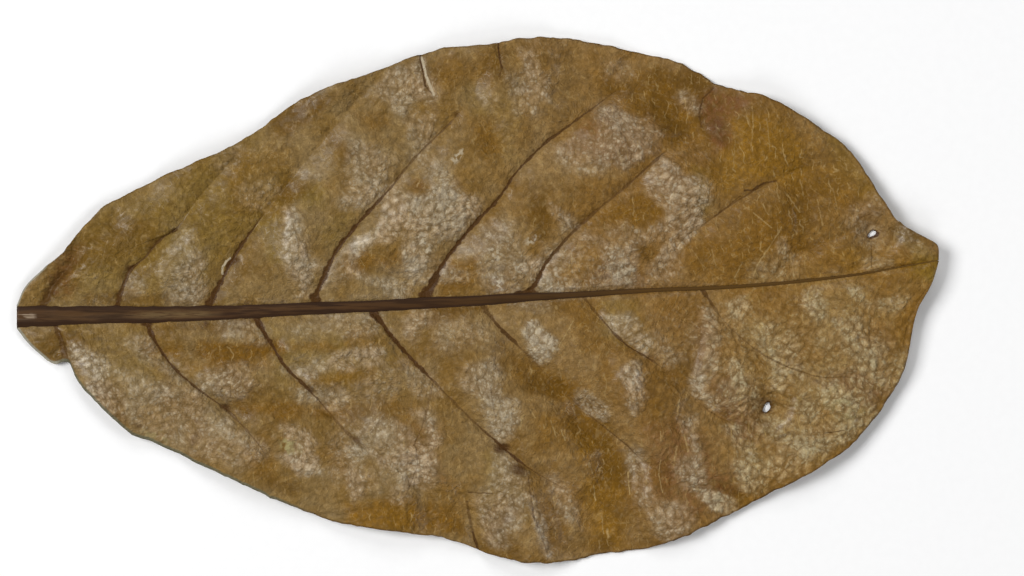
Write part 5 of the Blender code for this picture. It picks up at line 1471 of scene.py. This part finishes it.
@dataclass
class HalfBlade:
    """The half of the blade on one side of the midrib.

    It is a grid. Its columns leave the midrib where the side veins do and run out to the margin as
    they do, so that each vein lies along a column. Heights and lengths are in millimetres, and the
    tuck is how much of the midrib's half width the blade reaches under it. Crumples and frills are
    noises, each with its height, its size and its seed. Frills shape the margin, but not its ends.
    """

    side: Side
    margin: Points
    veins: tuple[Vein, ...]
    column_gap: float = 0.66
    rows: int = 115
    thickness: float = 0.35
    resting_thickness: float = 0.65
    lift: float = 2.9
    bulge_height: float = 1.3
    tip_lift: float = 2.2
    base_drop: float = 1.1
    sag: float = 3.0
    sag_reach: float = 15.0
    keel: float = 0.55
    hole_height: float = 0.26
    hole_thickness: float = 0.24
    hole_sink: float = 3.4
    net_cell: float = 2.1
    tuck: float = 0.45
    trough: float = 0.8
    trough_reach: float = 7.0
    wave_length: float = 31.0
    pad_height: float = 0.11
    rung_gap: float = 3.3
    rung_depth: float = 0.10
    valley_depth: float = 0.28
    crumples: tuple[tuple[float, float, int], ...] = ((0.30, 11, 41), (0.16, 4.6, 42), (0.06, 1.9, 43))
    frills: tuple[tuple[float, float, int], ...] = ((0.22, 2.6, 31), (0.16, 1.1, 32))
    frill_free: float = 6.0
    margin_samples: int = 4000
    roots: np.ndarray = field(init=False)
    at: dict = field(init=False, default_factory=dict)

    def __post_init__(self) -> None:
        """Lays out the grid's columns and rows on the leaf's plan."""
        self.vein_roots = np.array([vein.root for vein in self.veins], float)
        self.shares = np.linspace(0, 1, self.rows + 1)
        self.tracks = np.stack([vein.track(self.side, self.shares) for vein in self.veins], axis=1)
        self.roots = self.columns()
        self.lay_out()

    @property
    def name(self) -> str:
        """The piece's name."""
        return f"blade_{self.side.name.lower()}"

    def columns(self) -> np.ndarray:
        """Spaces the columns: one on each vein, and others evenly between them.

        Returns:
            Where each column leaves the midrib.
        """
        columns = [self.vein_roots[0]]
        for number in range(len(self.veins) - 1):
            start, end = self.vein_roots[number : number + 2]
            apart = np.linalg.norm(self.tracks[:, number + 1] - self.tracks[:, number], axis=1)
            parts = math.ceil(max(end - start, apart.max()) / self.column_gap)
            columns += [start + (end - start) * part / parts for part in range(1, parts + 1)]
        return np.array(columns)

    def lay_out(self) -> None:
        """Works out the plan position of every grid point, and where it lies among the veins."""
        grid = smooth(self.vein_roots, self.tracks.transpose(1, 0, 2), self.roots).transpose(1, 0, 2)
        line = np.array(self.margin, float)
        lengths = lengths_along(line)
        walk = np.linspace(0, lengths[-1], self.margin_samples)
        spots = smooth(lengths, line, walk)
        ends = self.tracks[-1]
        stations = walk[[np.argmin(np.linalg.norm(spots - end, axis=1)) for end in ends]]
        stations[0], stations[-1] = 0, lengths[-1]
        along = np.clip(smooth(self.vein_roots, stations, self.roots), 0, lengths[-1])
        edge = smooth(lengths, line, along)
        frill = sum(much * soft_noise(along, along * 0, size, seed) for much, size, seed in self.frills)
        window = step(along, 0, self.frill_free) * step(lengths[-1] - along, 0, self.frill_free)
        edge[:, 1] += self.side.value * frill * window
        half_width = midrib_width(self.roots) / 2
        rib = np.stack([self.roots, midrib_middle(self.roots) + self.side.value * half_width], axis=-1)
        t = self.shares[:, None, None]
        grid = grid + (rib - grid[0]) * (1 - t) ** 3 + (edge - grid[-1]) * t**4
        grid[0] = rib - np.array([0, self.side.value]) * self.tuck * half_width[:, None]
        self.x, self.y = grid[..., 0], grid[..., 1]
        self.share = np.broadcast_to(self.shares[:, None], self.x.shape)
        self.root = np.broadcast_to(self.roots[None, :], self.x.shape)
        steps = np.hypot(np.diff(self.x, axis=0), np.diff(self.y, axis=0))
        self.out = np.concatenate([np.zeros((1, len(self.roots))), np.cumsum(steps, axis=0)])
        numbers = smooth(self.vein_roots, np.arange(len(self.veins)), self.roots)
        self.number = np.broadcast_to(numbers, self.x.shape)
        self.panel = np.clip(self.number.astype(int), 0, len(self.veins) - 2)
        self.from_midrib = np.hypot(self.x - self.root, self.y - midrib_middle(self.root))

    def find_veins(self) -> None:
        """Works out the nearest side vein of every grid point, its distance and its darkness."""
        away = np.full(self.x.shape, 9.0)
        width, dark = np.full(self.x.shape, 0.3), np.zeros(self.x.shape)
        for number, vein in enumerate(self.veins[1:-1], start=1):
            track = self.tracks[:, number]
            heading = np.gradient(track, axis=0)
            heading /= np.linalg.norm(heading, axis=1)[:, None]
            gap_x, gap_y = self.x - track[:, None, 0], self.y - track[:, None, 1]
            across = heading[:, None, 0] * gap_y - heading[:, None, 1] * gap_x
            near = (abs(self.number - number) < 1) & (abs(across) < abs(away))
            away = np.where(near, across, away)
            half_width, darkness = vein.look(self.shares)
            width = np.where(near, half_width[:, None], width)
            dark = np.where(near, darkness[:, None], dark)
        close = 1 - step(abs(away), 1.4, 1.9)
        self.vein_gap = away
        self.at |= {"vein_side": np.clip(away, -2, 2), "vein_width": width, "vein_dark": dark * close}

    def find_tones(self) -> None:
        """Works out how strong each tone is at every grid point."""
        x, y = self.x, self.y
        wobble = 0.9 * soft_noise(x, y, 5.0, 11) + 0.5 * soft_noise(x, y, 1.9, 12)
        for tone in Tone:
            bare = np.ones_like(x)
            for patch in PATCHES:
                if patch.tone is tone:
                    bare *= 1 - patch.weight(x, y, wobble)
            self.at[tone.value] = 1 - bare
        # A painted shadow at each insect hole, darkest on one side, kept in the knots' mask
        painted_hole_shadow = 1 - np.minimum(step(self.hole_share(1.0), 1.0, 1.35), step(self.hole_share(), 1.1, 1.5))
        self.at["knot"] = np.maximum(self.at["knot"], painted_hole_shadow)
        base_edge = [distance_to_line(x, y, *ends) for ends in zip(self.tracks[:-1, 0], self.tracks[1:, 0])]
        self.at["from_margin"] = np.minimum((self.out[-1] - self.out) * 0.8, np.min(base_edge, axis=0))
        # Along the lower left margin the rim is painted shadow, grey-green and wider; along the base's edge
        # it is a painted highlight.
        low = (self.side is Side.RIGHT) * (1 - step(x, -45, -30))
        base = 1 - step(x, -91.5, -90.0)
        self.at["rim_dark"] = np.maximum(0.4 + 0.35 * low, 0.85 * base)
        self.at["rim_grey"] = low * np.ones_like(x)
        self.at["rim_white"] = base

    def find_net(self) -> None:
        """Works out the net's cells and the weave of the fine strokes at every grid point."""
        x, y = self.x, self.y
        bend_x, bend_y = soft_noise(x, y, 5.5, 21), soft_noise(x, y, 5.5, 22)
        cells = np.stack([x / self.net_cell + 0.45 * bend_x, y / self.net_cell + 0.45 * bend_y], axis=-1)
        self.edge = net_edges(cells.reshape(-1, 2)).reshape(x.shape)
        heading = self.tracks[-1] - self.tracks[0]
        heading /= np.linalg.norm(heading, axis=1)[:, None]
        lean = smooth(self.vein_roots, abs(heading), self.roots)
        shift = np.cumsum(lean * np.gradient(self.roots)[:, None], axis=0)
        across = shift[:, 1] + 1.2 * soft_noise(x, y, 7, 23)
        along = shift[:, 0] + self.out + 1.3 * soft_noise(x, y, 6, 24) + 0.4 * soft_noise(x, y, 2.2, 25)
        self.along = along
        self.at["net"] = np.concatenate([cells, np.zeros_like(cells[..., :1])], axis=-1)
        self.at["weave"] = np.stack([across, along, 50.0 * (self.side is Side.LEFT) + 0 * x], axis=-1)

    def form(self) -> np.ndarray:
        """Works out the blade's main form: the bulges, folds, waves and sags that the frame has too.

        Returns:
            The height at every grid point.
        """
        x, y = self.x, self.y
        gaps = np.linalg.norm(np.diff(self.tracks, axis=1), axis=-1)
        room = np.clip(np.take_along_axis(gaps, self.panel, axis=1) / 22, 0, 1)
        envelope = np.sin(math.pi * self.share**0.8) ** 0.7 + 0.15 * self.share
        bulge = (1 - abs(2 * (self.number % 1) - 1) ** 2.4) * envelope * room
        height = self.lift + self.bulge_height * bulge
        for start, end, reach, crest in FOLDS:
            height += crest * hill(distance_to_line(x, y, start, end), reach)
        height -= self.trough * hill(self.from_midrib, self.trough_reach)
        height += self.share**3 * np.sin(2 * math.pi * x / self.wave_length + self.side.value)
        height += self.tip_lift * np.clip((x - 55) / 45, 0, 1) ** 2
        height -= self.base_drop * np.clip((-40 - x) / 60, 0, 1)
        if self.side is Side.RIGHT:
            height -= 0.9 * np.clip(1 - self.number, 0, 1) * self.share
        for sag_x, sag_y in SAGS:
            height -= self.sag * hill(np.hypot(x - sag_x, y - sag_y), self.sag_reach)
        return height

    def relief(self) -> np.ndarray:
        """Works out what drying added: the net's pads, rungs, creases, vein valleys and crumple.

        Returns:
            The height above the form at every grid point.
        """
        x, y, at = self.x, self.y, self.at
        clear = step(self.from_midrib - midrib_width(self.root) / 2, 0.1, 1.6)
        pads = self.pad_height * step(self.edge, 0.0, 0.36) * (0.6 + 0.6 * at["pale"])
        phase = self.along / self.rung_gap
        rungs = -self.rung_depth * hill(0.5 - abs(phase % 1 - 0.5), 0.10)
        crumple = sum(much * soft_noise(x, y, size, seed) for much, size, seed in self.crumples)
        tones = 0.15 * at["pale"] - 0.12 * at["ochre"] - 0.10 * at["dark"] + 0.06 * at["glint"]
        valleys = -self.valley_depth * hill(self.vein_gap, 0.6) * (0.04 + 0.9 * at["vein_dark"])
        valleys -= 0.1 * hill(self.vein_gap, 2.2) * (0.1 + 0.9 * at["vein_dark"])
        height = (pads + rungs + crumple + tones + valleys) * clear
        for start, end, reach, depth in CREASES:
            gap = distance_to_line(x, y, start, end)
            height -= depth * hill(gap, reach) - 0.4 * depth * hill(gap, 3 * reach)
        return height

    def faces(self) -> tuple[np.ndarray, np.ndarray]:
        """Puts the form, the relief and the thickness together.

        Returns:
            The heights of the upper and of the under face.
        """
        upper = self.form() + self.relief()
        upper[0] -= 0.12
        resting = 1 - step(upper - self.resting_thickness, 0.1, 0.7)
        thick = self.thickness + (self.resting_thickness - self.thickness) * resting
        for (x, y), *_ in HOLES:
            around = hill(np.hypot(self.x - x, self.y - y), self.hole_sink)
            upper += (self.hole_height - upper) * around
            thick += (self.hole_thickness - thick) * around
        ridge = np.clip(1 - abs(self.vein_gap), 0, 1) * (1 - 0.75 * self.share)
        under = np.maximum(upper - thick - self.keel * ridge, 0)
        return np.maximum(upper, under + thick), under

    def hole_share(self, moved: float = 0.0) -> np.ndarray:
        """How far every grid point is from the middle of the nearest insect hole, 1 at its edge.

        Args:
            moved: how far the holes are moved towards their painted shadows, 1 for the whole way.

        Returns:
            The distance of each, as a share of the hole's own reach.
        """
        share = np.full(self.x.shape, 99.0)
        for (x, y), (length, width), turned, (dark_x, dark_y) in HOLES:
            gap_x, gap_y = self.x - x - moved * dark_x, self.y - y - moved * dark_y
            across, up = math.cos(math.radians(turned)), math.sin(math.radians(turned))
            along, aside = (gap_x * across + gap_y * up) / length, (gap_y * across - gap_x * up) / width
            turn = np.arctan2(aside, along)
            ragged = 1 + 0.10 * np.sin(3 * turn + x) + 0.06 * np.sin(5 * turn + y)
            share = np.minimum(share, np.hypot(along, aside) / ragged)
        return share

    def lost_cells(self) -> np.ndarray:
        """Which grid cells have their middle in an insect hole."""
        share = self.hole_share()
        return share[:-1, :-1] + share[1:, :-1] + share[:-1, 1:] + share[1:, 1:] < 4

    def flat_shell(self) -> bpy.types.Mesh:
        """Makes a flat box of grid cells, with the insect holes cut through it.

        Returns:
            The box's mesh.
        """
        lost = self.lost_cells()
        last_column, last_row = len(self.roots) - 1, self.rows
        grid = bmesh.new()
        bmesh.ops.create_grid(grid, x_segments=last_column, y_segments=last_row, size=0.5)
        holes = []
        for face in grid.faces:
            middle = face.calc_center_median()
            column = int((middle.x + 0.5) * last_column)
            row = int((middle.y + 0.5) * last_row)
            if lost[row, column]:
                holes.append(face)
        bmesh.ops.delete(grid, geom=holes, context="FACES")
        made = bmesh.ops.extrude_face_region(grid, geom=grid.faces[:], use_keep_orig=True)
        raised = [item for item in made["geom"] if isinstance(item, bmesh.types.BMVert)]
        bmesh.ops.translate(grid, verts=raised, vec=(0, 0, 1))
        bmesh.ops.recalc_face_normals(grid, faces=grid.faces[:])
        if self.side is Side.RIGHT:
            # The rows run towards -Y here, which would turn the shell inside out
            bmesh.ops.reverse_faces(grid, faces=grid.faces[:])
        mesh = bpy.data.meshes.new(self.name)
        grid.to_mesh(mesh)
        grid.free()
        return mesh

    def open_holes(self) -> None:
        """Draws the grid points in and around each insect hole to its ragged edge."""
        share, lost = self.hole_share(), self.lost_cells()
        drawn = share < 1
        for corner in (drawn[:-1, :-1], drawn[1:, :-1], drawn[:-1, 1:], drawn[1:, 1:]):
            corner |= lost
        for (x, y), *_ in HOLES:
            near = (np.hypot(self.x - x, self.y - y) < 3) & drawn
            scale = np.where(near, 1 / np.maximum(share, 1e-6), 1)
            self.x = x + (self.x - x) * scale
            self.y = y + (self.y - y) * scale

    def build(self) -> bpy.types.Object:
        """Makes the half blade's mesh, with all that its finish reads from it.

        Returns:
            The half blade as a piece.
        """
        self.find_veins()
        self.find_tones()
        self.find_net()
        upper, under = self.faces()
        mesh = self.flat_shell()
        self.open_holes()
        corners = vertex_places(mesh)
        column = np.rint((corners[:, 0] + 0.5) * (len(self.roots) - 1)).astype(int)
        row = np.rint((corners[:, 1] + 0.5) * self.rows).astype(int)
        on_top = corners[:, 2] > 0.5
        height = np.where(on_top, upper[row, column], under[row, column])
        placed = np.stack([self.x[row, column], self.y[row, column], height], axis=-1) * MM
        mesh.vertices.foreach_set("co", placed.astype(np.float32).ravel())
        for name, values in self.at.items():
            carry(mesh, name, values[row, column])
        carry(mesh, "under", ~on_top)
        self.unwrap(mesh, row, on_top)
        return dressed(self.name, mesh)

    def unwrap(self, mesh: bpy.types.Mesh, row: np.ndarray, on_top: np.ndarray) -> None:
        """Lays the upper face, the under face and the rims side by side, for baking.

        Args:
            mesh: the half blade's mesh, in its place.
            row: the grid row of each vertex.
            on_top: whether each vertex is on the upper face.
        """
        used = loop_vertices(mesh)
        placed = vertex_places(mesh)
        low, high = placed.min(axis=0), placed.max(axis=0)
        share = (placed - low) / (high - low)
        tops = on_top[used].reshape(-1, 4)
        rim = np.repeat(tops.any(axis=1) & ~tops.all(axis=1), 4)
        outer = np.repeat((row[used].reshape(-1, 4) == self.rows).all(axis=1), 4)
        flat = np.where(on_top[used], 0.52, 0.02) + 0.46 * share[used, 1]
        strip = np.where(outer, 0.50, 0.008) + np.where(on_top[used], 0.008, -0.008)
        spots = np.stack([0.01 + 0.98 * share[used, 0], np.where(rim, strip, flat)], axis=-1)
        layer = mesh.uv_layers.new(name="OFBake")
        layer.data.foreach_set("uv", spots.astype(np.float32).ravel())


@dataclass
class Midrib:
    """The midrib: a tapering rod, low and flat above the blade and keeled below it."""

    left: HalfBlade
    right: HalfBlade
    start: float = -99.9
    length: float = 199.7
    sink: float = 0.12
    stations: int = 400
    around: int = 24
    crown: float = 0.38
    keel: float = 1.7

    def edge_heights(self, x: np.ndarray) -> np.ndarray:
        """How high the blade stands where it meets the midrib, from both halves."""
        heights = [smooth(half.roots, half.form()[0], x) for half in (self.left, self.right)]
        return sum(heights) / 2

    def build(self) -> bpy.types.Object:
        """Makes the midrib's mesh, with all that its finish reads from it.

        Returns:
            The midrib as a piece.
        """
        rod = bmesh.new()
        bmesh.ops.create_circle(rod, segments=self.around, radius=1, cap_ends=True)
        bmesh.ops.spin(
            rod, geom=rod.verts[:] + rod.edges[:] + rod.faces[:], cent=(0, 0, 0), axis=(0, 0, 1),
            dvec=(0, 0, 1 / self.stations), angle=0, steps=self.stations,
        )
        inner = [
            face for face in rod.faces
            if abs(face.normal.z) > 0.5 and 1e-4 < face.calc_center_median().z < 1 - 1e-4
        ]
        bmesh.ops.delete(rod, geom=inner, context="FACES_ONLY")
        bmesh.ops.recalc_face_normals(rod, faces=rod.faces[:])
        mesh = bpy.data.meshes.new("midrib")
        rod.to_mesh(mesh)
        rod.free()
        corners = vertex_places(mesh).astype(float)
        x = self.start + self.length * corners[:, 2]
        across, up = corners[:, 0], corners[:, 1]
        width, taper = midrib_width(x), midrib_taper(x)
        base = self.edge_heights(x)
        channel = hill(across, 0.42) * (step(x, -98, -85) - step(x, -60, -40)) * 0.45
        stria = 0.035 * soft_noise(x / 6, across * 6, 1.0, 51) + 0.05 * soft_noise(x, across, 3.0, 52)
        arch = np.sqrt(np.clip(1 - across**2, 0, 1)) ** 0.8
        above = arch * self.crown * taper * (1 - channel) + stria * taper * arch
        below = arch * (0.5 + self.keel * taper)
        low = base - self.sink
        height = np.where(up >= 0, low + above + self.sink * arch, low - below)
        wander = 1 + 0.06 * soft_noise(x, across, 4.0, 53) + 0.08 * soft_noise(x, across, 1.3, 54)
        y = midrib_middle(x) + across * wander * width / 2
        placed = np.stack([x, y, np.maximum(height, 0)], axis=-1) * MM
        mesh.vertices.foreach_set("co", placed.astype(np.float32).ravel())
        stripe = hill(across + 0.05, 0.38) * (0.15 * step(x, -97, -90) + 0.85 * step(x, -77, -71))
        stripe *= (up > 0) * (1 - step(x, -61, -54))
        splinter = (1 - step(x, -96.6, -95.4)) * hill(across - 0.1, 0.2) * (up > 0)
        for name, values in {"across": across, "stripe": stripe, "splinter": splinter}.items():
            carry(mesh, name, values)
        self.unwrap(mesh, corners)
        return dressed("midrib", mesh)

    def unwrap(self, mesh: bpy.types.Mesh, corners: np.ndarray) -> None:
        """Lays the rod's upper and under side next to each other, for baking.

        Args:
            mesh: the midrib's mesh.
            corners: its vertices on the straight rod, with the length along Z.
        """
        used = loop_vertices(mesh)
        spots = np.zeros((len(used), 2), np.float32)
        for face in mesh.polygons:
            loops = list(face.loop_indices)
            places = corners[used[loops]]
            if len(loops) > 4:
                end = 0.02 if places[0, 2] < 0.5 else 0.98
                spots[loops] = np.stack([end + 0.015 * places[:, 0], 0.04 + 0.03 * places[:, 1]], axis=-1)
                continue
            top = places[:, 1].mean() > 0
            spots[loops, 0] = 0.01 + 0.98 * places[:, 2]
            spots[loops, 1] = (0.77 if top else 0.3) + 0.2 * places[:, 0]
        layer = mesh.uv_layers.new(name="OFBake")
        layer.data.foreach_set("uv", spots.ravel())


def dressed(name: str, mesh: bpy.types.Mesh) -> bpy.types.Object:
    """Makes a mesh a piece of the leaf.

    Args:
        name: the piece's name.
        mesh: its mesh, already in its place.

    Returns:
        The piece, which rides with the leaf and stands for its solid.
    """
    mesh.polygons.foreach_set("use_smooth", np.ones(len(mesh.polygons), bool))
    mesh.update()
    piece = bpy.data.objects.new(name, mesh)
    bpy.context.scene.collection.objects.link(piece)
    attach(piece, "root")
    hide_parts("leaf")
    return piece


@dataclass
class Studio:
    """The pale floor, the soft lights and the camera straight above the leaf. In metres.

    Each light has a name, its bearing from +X, its slant from straight up, and its power in watts.
    """

    floor_size: float = 4.0
    floor_gap: float = 0.00002
    view_middle: tuple[float, float] = (0.00769, 0.00260)
    view_width: float = 0.2219
    leaf_height: float = 0.003
    lens: float = 100.0
    sensor: float = 36.0
    sky: Colour = (0.95, 0.97, 1.0)
    sky_strength: float = 0.06
    light_distance: float = 2.0
    light_size: float = 0.9
    lights: tuple[tuple[str, float, float, float], ...] = (
        ("left", 165, 41, 32.5),
        ("right", 0, 50, 10.0),
        ("back", 90, 50, 9.0),
        ("front", 270, 50, 8.0),
    )

    def build_floor(self) -> bpy.types.Object:
        """Lays the floor, just under the leaf.

        Returns:
            The floor.
        """
        sheet = bmesh.new()
        bmesh.ops.create_grid(sheet, x_segments=8, y_segments=8, size=self.floor_size / 2)
        bmesh.ops.translate(sheet, verts=sheet.verts[:], vec=(0, 0, -self.floor_gap))
        mesh = bpy.data.meshes.new("floor")
        sheet.to_mesh(mesh)
        sheet.free()
        mesh.materials.append(FloorFinish().material())
        floor = bpy.data.objects.new("floor", mesh)
        bpy.context.scene.collection.objects.link(floor)
        return floor

    def build_light(self, name: str, place: Vector, power: float) -> None:
        """Hangs one square soft light, turned to the leaf.

        Args:
            name: the light's name.
            place: where it hangs.
            power: its power in watts.
        """
        lamp = bpy.data.lights.new(name, "AREA")
        lamp.shape, lamp.size, lamp.energy = "SQUARE", self.light_size, power
        light = bpy.data.objects.new(name, lamp)
        light.location = place
        light.rotation_euler = (-place).to_track_quat("-Z", "Y").to_euler()
        bpy.context.scene.collection.objects.link(light)

    def build_camera(self) -> bpy.types.Object:
        """Hangs the camera so that its frame is the photograph's.

        Returns:
            The camera.
        """
        camera_data = bpy.data.cameras.new("camera")
        camera_data.lens, camera_data.sensor_width = self.lens, self.sensor
        camera_data.clip_start, camera_data.clip_end = 0.01, 20.0
        camera = bpy.data.objects.new("camera", camera_data)
        distance = self.view_width * self.lens / self.sensor
        camera.location = (*self.view_middle, self.leaf_height + distance)
        bpy.context.scene.collection.objects.link(camera)
        bpy.context.scene.camera = camera
        return camera

    def build(self) -> None:
        """Sets up the floor, the lights, the sky and the camera."""
        self.build_floor()
        for name, bearing, slant, power in self.lights:
            around, down = math.radians(bearing), math.radians(slant)
            aside = math.sin(down)
            aim = Vector((aside * math.cos(around), aside * math.sin(around), math.cos(down)))
            self.build_light(name, aim * self.light_distance, power)
        world = bpy.data.worlds.new("sky")
        bpy.context.scene.world = world
        world.use_nodes = True
        background = world.node_tree.nodes["Background"]
        background.inputs["Color"].default_value = (*self.sky, 1)
        background.inputs["Strength"].default_value = self.sky_strength
        self.build_camera()
        bpy.context.scene.view_settings.view_transform = "Standard"


def main() -> None:
    """Builds the leaf and its studio, and reports each piece."""
    logging.basicConfig(level=logging.INFO, format="%(message)s")
    halves = [
        HalfBlade(Side.LEFT, LEFT_MARGIN, LEFT_VEINS),
        HalfBlade(Side.RIGHT, RIGHT_MARGIN, RIGHT_VEINS),
    ]
    pieces = []
    for half in halves:
        piece = half.build()
        piece.data.materials.append(BladeFinish(half.side).material())
        pieces.append(piece)
    rib = Midrib(*halves).build()
    rib.data.materials.append(RibFinish().material())
    pieces.append(rib)
    for piece in pieces:
        triangles = sum(len(face.vertices) - 2 for face in piece.data.polygons)
        log.info("%s: %d triangles", piece.name, triangles)
    Studio().build()


if __name__ == "__main__":
    main()
